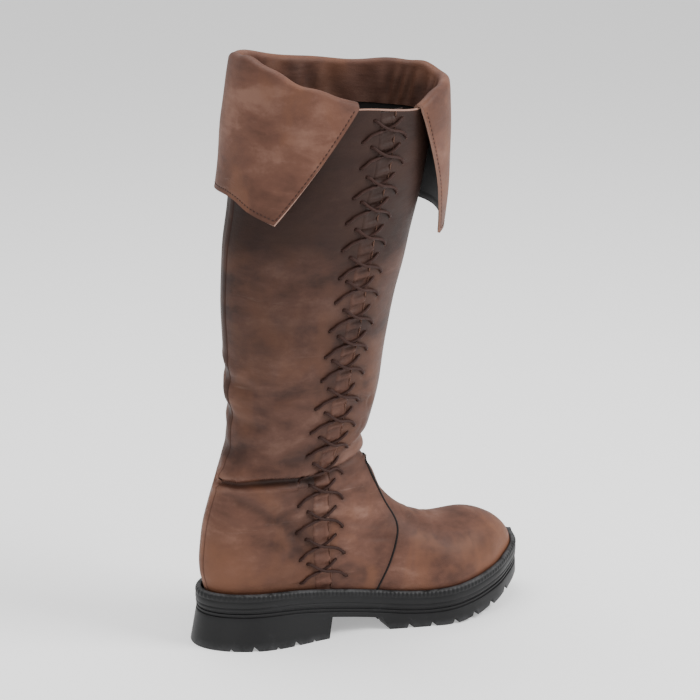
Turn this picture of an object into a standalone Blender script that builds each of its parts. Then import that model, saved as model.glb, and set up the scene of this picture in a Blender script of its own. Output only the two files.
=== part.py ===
"""Tall right boot in folk style: lugged rubber sole, hollow leather upper laced up its outer side, folded cuff.

While it is modelled, X runs from the heel's back to the toe, -Y is the outer side of the foot and Z is up.
The finished parts hang on one empty that moves the origin to the floor under the middle of the heel.
"""
import math

import bmesh
import bpy
from mathutils import Vector

# Driving sizes of the foot and sole, in metres
SOLE_LENGTH = 0.288
BALL_WIDTH = 0.093
INSTEP_HEIGHT = 0.110
HEEL_BED = 0.038
BALL_BED = 0.0225
TOE_SPRING = 0.0205
TREAD_LIFT = 0.023
LIP_HEIGHT = 0.007
LIP_WIDTH = 0.005
BAND_HEIGHT = 0.014
HEEL_REST = 0.042

# Driving sizes of the shaft and cuff
COLLAR_HEIGHT = 0.424
CALF_DEPTH = 0.151
CALF_WIDTH = 0.109
CUFF_DEPTH = 0.104
FACING_DEPTH = 0.034
FOLD_RADIUS = 0.0046

# Stock thicknesses and clearances
WALL = 0.0018
CUFF_LEATHER = 0.0022
TONGUE_LEATHER = 0.0015
INSOLE_THICKNESS = 0.003
GAP = 0.0003
FACET_GAP = 0.0008
LIP_GAP = 0.0011

# Raised edge where the shaft's panels lie over the vamp
SEAM_STEP = 0.0013
SEAM_TAPER = 0.030

# Lacing
THROAT_GAP = 0.014
TONGUE_WIDTH = 0.033
LACE_DIAMETER = 0.0026
CROSSINGS = 18
NARROW_SPREAD = 0.023
WIDE_SPREAD = 0.036
FIRST_EYELET_DROP = 0.005
LAST_EYELET_RISE = 0.009
CROSS_SHARE = 0.76

# Grooves round the outsole's side and lugs under it
GROOVE_HEIGHT = 0.0015
GROOVE_DEPTH = 0.0012
SOLE_FLARE = 0.0012
HEEL_FLARE = 0.0045
HEEL_SPREAD = 0.0015
SHANK_THICKNESS = 0.004
BREAST_SLANT = 0.003
BIG_NOTCH = (0.0052, 0.0042)
SMALL_NOTCH = (0.0028, 0.0018)
LUG_CHANNEL = (0.005, 0.003)

# Mesh density
COLUMNS = 30
ROWS_PER_SECTION = 2
PLAN_STEPS = 22

# Foot sections. Ridge and seat are the section's top and bottom ends: along the length as shares of
# SOLE_LENGTH, above the footbed as shares of INSTEP_HEIGHT. Outer, inner and centre are shares of
# BALL_WIDTH. Belly is how far down the widest place lies.
# Columns: name, ridge_x, ridge_h, seat_x, seat_h, outer, inner, belly, centre.
FOOT = (
    ("toe_tip", 0.981, 0.045, 0.982, 0.030, 0.004, 0.004, 0.50, 0.15),
    ("toe_front", 0.957, 0.17, 0.962, -0.08, 0.19, 0.165, 0.50, 0.14),
    ("toe_cap", 0.910, 0.30, 0.917, -0.12, 0.32, 0.285, 0.56, 0.11),
    ("toe_box", 0.833, 0.425, 0.844, -0.13, 0.44, 0.40, 0.60, 0.055),
    ("ball", 0.715, 0.493, 0.722, -0.13, 0.515, 0.475, 0.62, 0.01),
    ("waist", 0.618, 0.612, 0.597, -0.13, 0.45, 0.425, 0.64, 0.0),
    ("instep", 0.549, 0.765, 0.451, -0.13, 0.37, 0.39, 0.66, 0.0),
    ("long_heel", 0.521, 0.92, 0.26, -0.14, 0.37, 0.38, 0.68, 0.0),
    ("heel_seat", 0.497, 1.00, 0.076, -0.12, 0.365, 0.39, 0.66, 0.0),
    ("heel_back", 0.487, 1.08, 0.014, 0.14, 0.335, 0.40, 0.60, 0.0),
    ("heel_top", 0.488, 1.15, 0.017, 0.43, 0.315, 0.41, 0.54, 0.0),
    ("ankle", 0.486, 1.22, 0.040, 0.70, 0.345, 0.42, 0.50, 0.0),
)

# Shaft sections from the ankle up. Rise is a share of the way from the ankle to the collar, centre a
# share of SOLE_LENGTH, depth of CALF_DEPTH, outer and inner half widths of CALF_WIDTH, and tilt is how
# much higher the back is than the front, as a share of CUFF_DEPTH.
# Columns: name, rise, centre, depth, outer, inner, tilt.
SHAFT = (
    ("low_shaft", 0.09, 0.298, 0.785, 0.350, 0.385, -0.10),
    ("shin", 0.22, 0.316, 0.835, 0.405, 0.415, 0.0),
    ("mid_shaft", 0.35, 0.322, 0.876, 0.445, 0.450, 0.0),
    ("calf", 0.48, 0.333, 0.940, 0.472, 0.472, 0.0),
    ("high_calf", 0.61, 0.356, 0.995, 0.500, 0.500, 0.0),
    ("under_cuff", 0.74, 0.379, 1.015, 0.532, 0.532, 0.0),
    ("in_cuff", 0.87, 0.398, 1.040, 0.564, 0.564, 0.10),
    ("collar", 1.0, 0.415, 1.075, 0.596, 0.596, 0.20),
    ("above", 1.16, 0.443, 1.125, 0.622, 0.622, 0.24),
)

# Middle of the lacing: height as a share of COLLAR_HEIGHT, place as a share of SOLE_LENGTH
THROAT = (
    (1.05, 0.468), (0.915, 0.462), (0.82, 0.432), (0.715, 0.413), (0.61, 0.392), (0.51, 0.368),
    (0.41, 0.351), (0.285, 0.330), (0.19, 0.320), (0.07, 0.329),
)

# Edge of the shaft's panels over the vamp: height above the ball's bed as a share of INSTEP_HEIGHT,
# place as a share of SOLE_LENGTH. Above the instep it runs off in front of the shaft.
VAMP_SEAM = (
    (0.00, 0.478), (0.13, 0.490), (0.295, 0.521), (0.44, 0.545), (0.53, 0.556), (0.605, 0.552),
    (0.72, 0.530), (0.87, 0.505), (0.97, 0.493), (1.04, 0.499), (1.20, 0.66), (4.0, 2.0),
)

# The cuff, from its rear end round the back and the inner side to its front end. Angles are degrees
# round the shaft from the front towards the outer side. Fold height is a share of COLLAR_HEIGHT, drop
# and stand-off of the hem are shares of CUFF_DEPTH.
# Columns: name, fold_angle, fold_height, hem_angle, drop, stand_off.
CUFF = (
    ("rear_end", 98.0, 1.021, 133.0, 0.82, 0.29),
    ("rear_side", 125.0, 1.052, 147.0, 0.89, 0.21),
    ("back_outer", 152.0, 1.084, 162.0, 0.96, 0.13),
    ("back", 180.0, 1.100, 180.0, 1.00, 0.10),
    ("back_inner", 212.0, 1.090, 210.0, 0.98, 0.11),
    ("inner", 270.0, 1.062, 270.0, 0.98, 0.16),
    ("front_inner", 318.0, 1.054, 318.0, 1.02, 0.25),
    ("front", 350.0, 1.052, 350.0, 1.07, 0.30),
    ("front_side", 388.0, 1.036, 368.0, 1.11, 0.28),
    ("front_end", 418.0, 1.010, 378.0, 1.05, 0.23),
)

# Places of the notches across the lugs, as shares of SOLE_LENGTH, and of the steps of the tread
HEEL_BREAST = 0.337
FOREPART_START = 0.508
FLAT_END = 0.655
HEEL_NOTCHES = ((0.055, "small"), (0.115, "big"), (0.178, "small"), (0.235, "big"), (0.290, "small"))
FOREPART_NOTCHES = (0.575, 0.64, 0.705, 0.77, 0.835, 0.90)
FOREPART_CHANNELS = (-0.20, 0.24)

FINISHES = {
    "leather": ((0.165, 0.085, 0.060, 1.0), 0.48),
    "cuff_leather": ((0.190, 0.098, 0.068, 1.0), 0.46),
    "tongue_leather": ((0.120, 0.065, 0.048, 1.0), 0.55),
    "lace_cord": ((0.045, 0.026, 0.022, 1.0), 0.80),
    "sole_rubber": ((0.022, 0.022, 0.024, 1.0), 0.55),
    "insole_cloth": ((0.015, 0.015, 0.016, 1.0), 0.90),
}


def smoothstep(low, high, value):
    """Smooth ramp from 0 at low to 1 at high."""
    t = min(max((value - low) / (high - low), 0.0), 1.0)
    return t * t * (3.0 - 2.0 * t)


def catmull(rows, place):
    """Row of numbers at a place (0 to len - 1) on a Catmull-Rom curve through the table's rows."""
    last = len(rows) - 1
    i = min(max(int(math.floor(place)), 0), last - 1)
    t = place - i
    b = rows[i]
    c = rows[i + 1]
    a = rows[i - 1] if i > 0 else [2.0 * p - q for p, q in zip(b, c)]
    d = rows[i + 2] if i + 2 <= last else [2.0 * q - p for p, q in zip(b, c)]
    result = []
    for p0, p1, p2, p3 in zip(a, b, c, d):
        cubic = 3.0 * p1 - p0 - 3.0 * p2 + p3
        square = 2.0 * p0 - 5.0 * p1 + 4.0 * p2 - p3
        result.append(0.5 * (2.0 * p1 + (p2 - p0) * t + square * t * t + cubic * t ** 3))
    return result


def solve(function, low, high, steps=40):
    """Root of a function that changes sign between low and high."""
    sign = function(low) > 0.0
    for _ in range(steps):
        middle = 0.5 * (low + high)
        if (function(middle) > 0.0) == sign:
            low = middle
        else:
            high = middle
    return 0.5 * (low + high)


def table_value(rows, key):
    """Second column of a table at a value of its first column, along the smooth curve."""
    rising = rows[0][0] < rows[-1][0]
    if (key < rows[0][0]) == rising:
        return rows[0][1]
    if (key > rows[-1][0]) == rising:
        return rows[-1][1]
    place = solve(lambda t: catmull(rows, t)[0] - key, 0.0, len(rows) - 1.0)
    return catmull(rows, place)[1]


def footbed(x):
    """Height of the footbed at a distance from the heel's back."""
    drop = 1.0 - smoothstep(0.17 * SOLE_LENGTH, 0.64 * SOLE_LENGTH, x)
    forward = max(x / SOLE_LENGTH - 0.62, 0.0) / 0.38
    return BALL_BED + (HEEL_BED - BALL_BED) * drop + TOE_SPRING * forward ** 1.7


def rim_top(x):
    """Top of the rubber rim round the upper."""
    return footbed(x) + LIP_HEIGHT


def split_height(x):
    """Joint between the rim's band and the outsole."""
    return rim_top(x) - BAND_HEIGHT


def tread_height(x):
    """Bottom of the forepart, flat on the floor and then rising to the toe."""
    forward = max(x / SOLE_LENGTH - FLAT_END, 0.0) / (1.0 - FLAT_END)
    return TREAD_LIFT * forward ** 1.8


def boot_sections():
    """Sections in metres: ridge x and z, seat x and z, outer and inner half widths, belly, centre."""
    rows = []
    for name, ridge_x, ridge_h, seat_x, seat_h, outer, inner, belly, centre in FOOT:
        x = ridge_x * SOLE_LENGTH
        back = seat_x * SOLE_LENGTH
        rows.append((
            x, footbed(x) + ridge_h * INSTEP_HEIGHT,
            back, footbed(back) + seat_h * INSTEP_HEIGHT,
            outer * BALL_WIDTH, inner * BALL_WIDTH, belly, centre * BALL_WIDTH))
    ankle = 0.5 * (rows[-1][1] + rows[-1][3])
    for name, rise, centre, depth, outer, inner, tilt in SHAFT:
        z = ankle + rise * (COLLAR_HEIGHT - ankle)
        lean = 0.5 * tilt * CUFF_DEPTH
        half = 0.5 * depth * CALF_DEPTH
        middle = centre * SOLE_LENGTH
        rows.append((
            middle + half, z - lean, middle - half, z + lean,
            outer * CALF_WIDTH, inner * CALF_WIDTH, 0.5, 0.0))
    return rows


SECTIONS = boot_sections()
LAST_SECTION = len(SECTIONS) - 1.0
ANKLE_SECTION = len(FOOT) - 1.0


def upper_point(s, angle):
    """Point of the upper's outside at section s, at an angle from the front or ridge (outer side first)."""
    ridge_x, ridge_z, seat_x, seat_z, outer, inner, belly, centre = catmull(SECTIONS, s)
    cosine = math.cos(angle)
    along = belly - cosine * (belly if cosine > 0.0 else 1.0 - belly)
    sine = math.sin(angle)
    y = centre - sine * (outer if sine > 0.0 else inner)
    return Vector((ridge_x + (seat_x - ridge_x) * along, y, ridge_z + (seat_z - ridge_z) * along))


def upper_normal(s, angle):
    """Outward direction of the upper's outside."""
    step = 0.01
    high = min(s + step, LAST_SECTION)
    low = max(s - step, 0.0)
    along = upper_point(high, angle) - upper_point(low, angle)
    around = upper_point(s, angle + step) - upper_point(s, angle - step)
    return along.cross(around).normalized()


def section_through(x, z, first=0.0, last=LAST_SECTION):
    """Section whose line from ridge to seat passes through a point of the side view."""
    def side(s):
        ridge_x, ridge_z, seat_x, seat_z = catmull(SECTIONS, s)[:4]
        return (seat_x - ridge_x) * (z - ridge_z) - (seat_z - ridge_z) * (x - ridge_x)
    return solve(side, first, last)


def side_place(x, z, outer=True):
    """Section and angle of the upper's side at a point of the side view."""
    s = section_through(x, z)
    ridge_x, ridge_z, seat_x, seat_z, _, _, belly, _ = catmull(SECTIONS, s)
    length = math.hypot(seat_x - ridge_x, seat_z - ridge_z)
    dot = (x - ridge_x) * (seat_x - ridge_x) + (z - ridge_z) * (seat_z - ridge_z)
    along = min(max(dot / length ** 2, 0.0), 1.0)
    share = belly if along < belly else 1.0 - belly
    angle = math.acos(min(max((belly - along) / share, -1.0), 1.0))
    return s, (angle if outer else 2.0 * math.pi - angle)


def side_point(x, z, out, outer=True):
    """Point of the upper's side in the side view, moved out along its normal."""
    s, angle = side_place(x, z, outer)
    return upper_point(s, angle) + upper_normal(s, angle) * out


def section_at_height(angle, z):
    """Section of the shaft that reaches a height at an angle round it."""
    return solve(lambda s: upper_point(s, angle)[2] - z, ANKLE_SECTION, LAST_SECTION)


def cuff_row(place):
    """Cuff's numbers at a place along its table, in radians and metres."""
    rows = [row[1:] for row in CUFF]
    fold_angle, fold_height, hem_angle, drop, stand_off = catmull(rows, place)
    fold = fold_height * COLLAR_HEIGHT
    return (math.radians(fold_angle), fold, math.radians(hem_angle),
            fold - drop * CUFF_DEPTH, stand_off * CUFF_DEPTH)


def fold_height(angle):
    """Height of the cuff's fold at an angle, and of the line between its ends across the lacing."""
    start = cuff_row(0.0)
    end = cuff_row(len(CUFF) - 1.0)
    turn = angle
    while turn < start[0]:
        turn += 2.0 * math.pi
    if turn > end[0]:
        share = (turn - end[0]) / (start[0] + 2.0 * math.pi - end[0])
        return end[1] + (start[1] - end[1]) * smoothstep(0.0, 1.0, share)
    place = solve(lambda t: cuff_row(t)[0] - turn, 0.0, len(CUFF) - 1.0)
    return cuff_row(place)[1]


def collar_height(angle):
    """Top edge of the upper, inside the cuff's fold."""
    return fold_height(angle) - FOLD_RADIUS - GAP


def loft(rings, closed=True):
    """Bmesh of quads between rings with the same number of points."""
    mesh = bmesh.new()
    rows = [[mesh.verts.new(point) for point in ring] for ring in rings]
    count = len(rings[0])
    last = count if closed else count - 1
    for low, high in zip(rows, rows[1:]):
        for i in range(last):
            j = (i + 1) % count
            mesh.faces.new((low[i], low[j], high[j], high[i]))
    return mesh, rows


def cap_strip(mesh, ring, flip):
    """Close a plan ring with strips across it, from its outer half to its inner half."""
    half = len(ring) // 2
    for i in range(half):
        a = ring[i]
        b = ring[i + 1]
        c = ring[(len(ring) - i - 1) % len(ring)]
        d = ring[(len(ring) - i) % len(ring)]
        corners = []
        for vertex in (a, b, c, d):
            if vertex not in corners:
                corners.append(vertex)
        if flip:
            corners.reverse()
        mesh.faces.new(corners)


def sheared_cut(mesh, height, axis, clear):
    """Cut a mesh where its coordinate on an axis equals a function of the point, or trim below it."""
    for vertex in mesh.verts:
        vertex.co[axis] -= height(vertex.co)
    normal = Vector((0.0, 0.0, 0.0))
    normal[axis] = 1.0
    geometry = mesh.verts[:] + mesh.edges[:] + mesh.faces[:]
    result = bmesh.ops.bisect_plane(
        mesh, geom=geometry, dist=2e-4, plane_co=(0.0, 0.0, 0.0), plane_no=normal, clear_inner=clear)
    for vertex in mesh.verts:
        vertex.co[axis] += height(vertex.co)
    return [item for item in result["geom_cut"] if isinstance(item, bmesh.types.BMEdge)]


def finish_object(name, mesh, collection, parent, material):
    """Object of a bmesh in the part's collection, shaded smooth, with its material."""
    data = bpy.data.meshes.new(name)
    bmesh.ops.remove_doubles(mesh, verts=mesh.verts[:], dist=1e-6)
    mesh.to_mesh(data)
    mesh.free()
    data.shade_smooth()
    data.set_sharp_from_angle(angle=math.radians(40.0))
    item = bpy.data.objects.new(name, data)
    item.parent = parent
    if material is not None:
        data.materials.append(material)
    collection.objects.link(item)
    return item


def add_cutter(name, mesh, cutters, parent):
    """Hidden closed mesh that a Boolean reads."""
    bmesh.ops.recalc_face_normals(mesh, faces=mesh.faces[:])
    cutter = finish_object(name, mesh, cutters, parent, None)
    cutter.hide_render = True
    cutter.display_type = "WIRE"
    return cutter


def add_boolean(item, cutter, operation):
    """Boolean modifier on an object."""
    modifier = item.modifiers.new(cutter.name, "BOOLEAN")
    modifier.operation = operation
    modifier.solver = "EXACT"
    modifier.object = cutter


def add_wall(item, thickness):
    """Wall grown inwards from an outer surface."""
    wall = item.modifiers.new("wall", "SOLIDIFY")
    wall.thickness = thickness
    wall.offset = -1.0
    wall.use_even_offset = True
    wall.use_rim = True


def prism(outline, near, far):
    """Closed bmesh of a side-view outline, in metres, between two places across the boot."""
    mesh = bmesh.new()
    first = [mesh.verts.new((x, near, z)) for x, z in outline]
    second = [mesh.verts.new((x, far, z)) for x, z in outline]
    mesh.faces.new(first)
    mesh.faces.new(list(reversed(second)))
    for i in range(len(outline)):
        j = (i + 1) % len(outline)
        mesh.faces.new((first[j], first[i], second[i], second[j]))
    return mesh


def throat_x(z):
    """Middle of the lacing at a height."""
    return table_value(THROAT, z / COLLAR_HEIGHT) * SOLE_LENGTH


def seam_x(z):
    """Front edge of the shaft's panels at a height."""
    return table_value(VAMP_SEAM, (z - BALL_BED) / INSTEP_HEIGHT) * SOLE_LENGTH


def upper_grid():
    """Outside of the upper from the toe's tip to the collar, open at the collar."""
    shoulder = LAST_SECTION - 3.0
    tops = [section_at_height(2.0 * math.pi * i / COLUMNS, collar_height(2.0 * math.pi * i / COLUMNS))
            for i in range(COLUMNS)]
    rings = []
    steps = int(LAST_SECTION) * ROWS_PER_SECTION
    for step in range(steps + 1):
        nominal = step / ROWS_PER_SECTION
        ring = []
        for i, top in enumerate(tops):
            s = nominal
            if nominal > shoulder:
                s = shoulder + (nominal - shoulder) / (LAST_SECTION - shoulder) * (top - shoulder)
            ring.append(upper_point(s, 2.0 * math.pi * i / COLUMNS))
        rings.append(ring)
    mesh, rows = loft(rings)
    mesh.faces.new(list(reversed(rows[0])))
    bmesh.ops.recalc_face_normals(mesh, faces=mesh.faces[:])
    return mesh


def place_key(vertex):
    """Rounded place of a vertex, to find it again after its copies are made."""
    return tuple(round(value, 7) for value in vertex.co)


def panel_rise(co):
    """How far the shaft's panels stand proud at a point: most at their edge, nothing at the feather edge."""
    depth = seam_x(co.z) - co.x
    clear = smoothstep(0.3 * LIP_HEIGHT, 1.4 * LIP_HEIGHT, co.z - footbed(co.x))
    return SEAM_STEP * clear * (1.0 - smoothstep(0.0, SEAM_TAPER, depth))


def raise_panels(mesh, seam_keys, outer_keys):
    """Step in the outside along the vamp seam: the shaft's panels stand proud there and sink back."""
    seam = [edge for edge in mesh.edges if all(place_key(vertex) in seam_keys for vertex in edge.verts)]
    mesh.normal_update()
    normals = {place_key(vertex): vertex.normal.copy() for vertex in mesh.verts}
    bmesh.ops.split_edges(mesh, edges=seam)
    torn = {}
    for edge in mesh.edges:
        if edge.is_boundary:
            torn.setdefault(frozenset(place_key(vertex) for vertex in edge.verts), []).append(edge)
    strips = []
    for near, far in torn.values():
        twins = {place_key(vertex): vertex for vertex in far.verts}
        first, second = near.verts
        corners = []
        for vertex in (first, second, twins[place_key(second)], twins[place_key(first)]):
            if vertex not in corners:
                corners.append(vertex)
        strips.append(corners)
    for vertex in mesh.verts:
        key = place_key(vertex)
        middles = [face.calc_center_median() for face in vertex.link_faces]
        if key in outer_keys and all(middle.x < seam_x(middle.z) for middle in middles):
            vertex.co += normals[key] * panel_rise(vertex.co)
    for corners in strips:
        mesh.faces.new(corners)
    bmesh.ops.remove_doubles(mesh, verts=mesh.verts[:], dist=2e-6)
    bmesh.ops.recalc_face_normals(mesh, faces=mesh.faces[:])


def make_upper(collection, cutters, parent, material):
    """Hollow leather upper, open at the collar, along the throat and underneath."""
    mesh = upper_grid()
    sheared_cut(mesh, lambda co: footbed(co.x) + GAP, 2, True)
    seam = sheared_cut(mesh, lambda co: seam_x(co.z), 0, False)
    seam_keys = {place_key(vertex) for edge in seam for vertex in edge.verts}
    outer_keys = {place_key(vertex) for vertex in mesh.verts}
    bmesh.ops.solidify(mesh, geom=mesh.faces[:], thickness=WALL)
    raise_panels(mesh, seam_keys, outer_keys)
    upper = finish_object("upper", mesh, collection, parent, material)
    outline = []
    top = COLLAR_HEIGHT * 1.06
    bottom = rim_top(throat_x(HEEL_BED)) - 2.0 * GAP
    stations = 14
    for side in (-0.5, 0.5):
        heights = [bottom + (top - bottom) * i / stations for i in range(stations + 1)]
        if side > 0.0:
            heights.reverse()
        for z in heights:
            outline.append((throat_x(z) + side * THROAT_GAP, z))
    slit = add_cutter("throat_cutter", prism(outline, -0.9 * CALF_WIDTH, -0.10 * CALF_WIDTH), cutters, parent)
    add_boolean(upper, slit, "DIFFERENCE")
    return upper


def plan_ring(height, grow, level, heel_grow=0.0):
    """Ring round the foot: the upper's outline at a height above the footbed, grown outwards.

    It runs from the heel's back along the outer side to the toe and back along the inner side.
    The heel may grow further, by an amount that fades towards the waist."""
    back = solve(
        lambda s: catmull(SECTIONS, s)[3] - footbed(catmull(SECTIONS, s)[2]) - height,
        ANKLE_SECTION - 4.0, ANKLE_SECTION)
    heel = catmull(SECTIONS, back)
    toe = catmull(SECTIONS, 0.0)
    plan = [Vector((heel[2], heel[7], 0.0))]
    sides = {}
    for outer in (True, False):
        sides[outer] = []
        for i in range(1, PLAN_STEPS):
            share = 0.5 - 0.5 * math.cos(math.pi * i / PLAN_STEPS)
            x = heel[2] + (toe[0] - heel[2]) * share
            z = footbed(x) + height
            s, angle = side_place(x, z, outer)
            sides[outer].append(Vector((x, upper_point(s, angle).y, 0.0)))
    plan += sides[True]
    plan.append(Vector((toe[0], toe[7], 0.0)))
    plan += list(reversed(sides[False]))
    count = len(plan)
    ring = []
    for i, point in enumerate(plan):
        along = (plan[(i + 1) % count] - plan[i - 1]).normalized()
        fade = 1.0 - smoothstep(0.12 * SOLE_LENGTH, 0.38 * SOLE_LENGTH, point.x)
        place = point + Vector((along.y, -along.x, 0.0)) * (grow + heel_grow * fade)
        ring.append(Vector((place.x, place.y, level(place.x))))
    return ring


def ring_solid(rings):
    """Closed bmesh between the first and last of a stack of plan rings, listed from the top down."""
    mesh, rows = loft(rings)
    cap_strip(mesh, rows[0], False)
    cap_strip(mesh, rows[-1], True)
    bmesh.ops.recalc_face_normals(mesh, faces=mesh.faces[:])
    return mesh


def make_midsole(collection, parent, material):
    """Rubber rim: a band under the feather edge with a lip round the upper."""
    lip_round = 0.3 * LIP_WIDTH
    rings = [
        plan_ring(0.5 * LIP_HEIGHT, LIP_GAP, footbed),
        plan_ring(LIP_HEIGHT, LIP_GAP, rim_top),
        plan_ring(LIP_HEIGHT, LIP_WIDTH - lip_round, rim_top, HEEL_SPREAD),
        plan_ring(LIP_HEIGHT, LIP_WIDTH, lambda x: rim_top(x) - lip_round, HEEL_SPREAD),
        plan_ring(LIP_HEIGHT, LIP_WIDTH, lambda x: split_height(x) + GAP, HEEL_SPREAD),
    ]
    return finish_object("midsole", ring_solid(rings), collection, parent, material)


def notch(x, z, size):
    """Side view of a groove cut up into the tread from a height: two feet and a narrower roof."""
    width, depth = size
    return [(x - 0.5 * width, z), (x - 0.2 * width, z + depth), (x + 0.2 * width, z + depth), (x + 0.5 * width, z)]


def ground_outline():
    """Side view of everything under the outsole, with its breast, shank, steps and notches."""
    sizes = {"small": SMALL_NOTCH, "big": BIG_NOTCH}
    margin = 0.1 * SOLE_LENGTH
    outline = [(-margin, -margin), (-margin, 0.0)]
    for share, kind in HEEL_NOTCHES:
        outline += notch(share * SOLE_LENGTH, 0.0, sizes[kind])
    breast = HEEL_BREAST * SOLE_LENGTH
    start = FOREPART_START * SOLE_LENGTH
    under = GROOVE_HEIGHT * 3.0 + SHANK_THICKNESS
    outline.append((breast, 0.0))
    steps = 5
    for i in range(steps + 1):
        x = breast + BREAST_SLANT + (start - BREAST_SLANT - breast - BREAST_SLANT) * i / steps
        outline.append((x, split_height(x) - under))
    outline.append((start + BREAST_SLANT, 0.0))
    flat = FLAT_END * SOLE_LENGTH
    for share in FOREPART_NOTCHES:
        x = share * SOLE_LENGTH
        if x > flat and len([point for point in outline if point[0] == flat]) == 0:
            outline.append((flat, 0.0))
        outline += notch(x, tread_height(x), BIG_NOTCH)
    for share in (0.94, 0.975, 1.0, 1.05):
        outline.append((share * SOLE_LENGTH, tread_height(share * SOLE_LENGTH)))
    outline += [(SOLE_LENGTH + margin, tread_height(SOLE_LENGTH * 1.05)), (SOLE_LENGTH + margin, -margin)]
    return outline


def channel_outline(start, end):
    """Side view of a lengthwise groove between lugs."""
    steps = 8
    places = [start + (end - start) * i / steps for i in range(steps + 1)]
    roof = [(x, tread_height(x) + LUG_CHANNEL[1]) for x in places]
    below = [(end, -LUG_CHANNEL[1]), (start, -LUG_CHANNEL[1])]
    return roof + below


def make_outsole(collection, cutters, parent, material):
    """Lugged outsole with its heel block, two fine grooves round its side and a rising toe."""
    recess = LIP_WIDTH - GROOVE_DEPTH
    proud = LIP_WIDTH - 0.2 * GROOVE_DEPTH
    depths = [(0.0, recess), (1.0, recess), (1.0, proud), (2.0, proud), (2.0, recess), (3.0, recess), (3.0, LIP_WIDTH)]
    rings = []
    for count, grow in depths:
        drop = count * GROOVE_HEIGHT
        rings.append(plan_ring(LIP_HEIGHT, grow, lambda x, d=drop: split_height(x) - d, HEEL_SPREAD))
    deep = -0.1 * HEEL_BED
    heel_grow = HEEL_SPREAD + HEEL_FLARE
    rings.append(plan_ring(LIP_HEIGHT, LIP_WIDTH + SOLE_FLARE, lambda x: deep, heel_grow))
    outsole = finish_object("outsole", ring_solid(rings), collection, parent, material)
    wide = BALL_WIDTH
    ground = add_cutter("ground_cutter", prism(ground_outline(), -wide, wide), cutters, parent)
    add_boolean(outsole, ground, "DIFFERENCE")
    half = 0.5 * LUG_CHANNEL[0]
    start = (FOREPART_START - 0.05) * SOLE_LENGTH
    end = 0.915 * SOLE_LENGTH
    for number, share in enumerate(FOREPART_CHANNELS, 1):
        y = share * BALL_WIDTH
        channel = prism(channel_outline(start, end), y - half, y + half)
        add_boolean(outsole, add_cutter("channel_cutter_%d" % number, channel, cutters, parent), "DIFFERENCE")
    return outsole


def make_insole(collection, parent, material):
    """Insole on the footbed, inside the upper's wall."""
    inside = -(WALL + 2.0 * GAP + FACET_GAP)
    top = GAP + INSOLE_THICKNESS
    rings = [
        plan_ring(0.0, inside, lambda x: footbed(x) + top),
        plan_ring(0.0, inside, lambda x: footbed(x) + GAP),
    ]
    return finish_object("insole", ring_solid(rings), collection, parent, material)


def make_tongue(collection, parent, material):
    """Long gusset behind the lacing, just inside the upper."""
    bottom = HEEL_BED + 2.0 * GAP + INSOLE_THICKNESS + FACET_GAP
    top = COLLAR_HEIGHT - 2.0 * FACET_GAP
    rows = 28
    columns = 3
    rings = []
    for i in range(rows + 1):
        z = bottom + (top - bottom) * i / rows
        middle = throat_x(z)
        ring = []
        for j in range(columns + 1):
            x = middle + TONGUE_WIDTH * (j / columns - 0.5)
            ring.append(side_point(x, z, -(WALL + FACET_GAP)))
        rings.append(ring)
    mesh, _ = loft(rings, closed=False)
    bmesh.ops.recalc_face_normals(mesh, faces=mesh.faces[:])
    mesh.faces.ensure_lookup_table()
    if mesh.faces[0].normal.y > 0.0:
        bmesh.ops.reverse_faces(mesh, faces=mesh.faces[:])
    tongue = finish_object("tongue", mesh, collection, parent, material)
    add_wall(tongue, TONGUE_LEATHER)
    return tongue


def shaft_frame(angle, z):
    """Point of the shaft's outside at a height, and the level direction out of it."""
    s = section_at_height(angle, z)
    out = upper_normal(s, angle)
    out.z = 0.0
    return upper_point(s, angle), out.normalized()


def cuff_profile(row):
    """Points of the cuff's good side at one place: up inside the collar, over the fold, down the flap."""
    fold_angle, fold, hem_angle, hem, stand_off = row
    points = []
    inside = -(WALL + FACET_GAP + CUFF_LEATHER)
    roll = FOLD_RADIUS
    centre = inside + roll
    leg_steps = 3
    for i in range(leg_steps):
        z = fold - roll - (FACING_DEPTH - roll) * (1.0 - i / leg_steps)
        place, out = shaft_frame(fold_angle, z)
        points.append(place + out * inside)
    roll_steps = 5
    place, out = shaft_frame(fold_angle, fold - roll)
    for i in range(roll_steps):
        turn = math.pi * i / roll_steps
        points.append(place + out * (centre - roll * math.cos(turn)) + Vector((0.0, 0.0, roll * math.sin(turn))))
    flap_steps = 7
    start = centre + roll
    for i in range(flap_steps + 1):
        share = i / flap_steps
        angle = fold_angle + (hem_angle - fold_angle) * share
        z = (fold - roll) + (hem - fold + roll) * share
        place, out = shaft_frame(angle, z)
        points.append(place + out * (start + (stand_off - start) * share ** 0.85))
    return points


def cuff_places():
    """Places along the cuff's table that fall on the upper's own columns, with its two ends."""
    last = len(CUFF) - 1.0
    start = cuff_row(0.0)[0]
    end = cuff_row(last)[0]
    spacing = 2.0 * math.pi / COLUMNS
    places = [0.0]
    column = math.ceil((start + 0.3 * spacing) / spacing)
    while column * spacing < end - 0.3 * spacing:
        angle = column * spacing
        places.append(solve(lambda t: cuff_row(t)[0] - angle, 0.0, last))
        column += 1
    places.append(last)
    return places


def make_cuff(collection, parent, material):
    """Folded cuff: its facing inside the collar, its fold, and the flap outside, split at the lacing."""
    mesh, _ = loft([cuff_profile(cuff_row(place)) for place in cuff_places()], closed=False)
    bmesh.ops.recalc_face_normals(mesh, faces=mesh.faces[:])
    mesh.faces.ensure_lookup_table()
    hem = max(mesh.faces, key=lambda face: face.calc_center_median().x)
    if hem.normal.x < 0.0:
        bmesh.ops.reverse_faces(mesh, faces=mesh.faces[:])
    cuff = finish_object("cuff", mesh, collection, parent, material)
    add_wall(cuff, CUFF_LEATHER)
    return cuff


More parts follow.
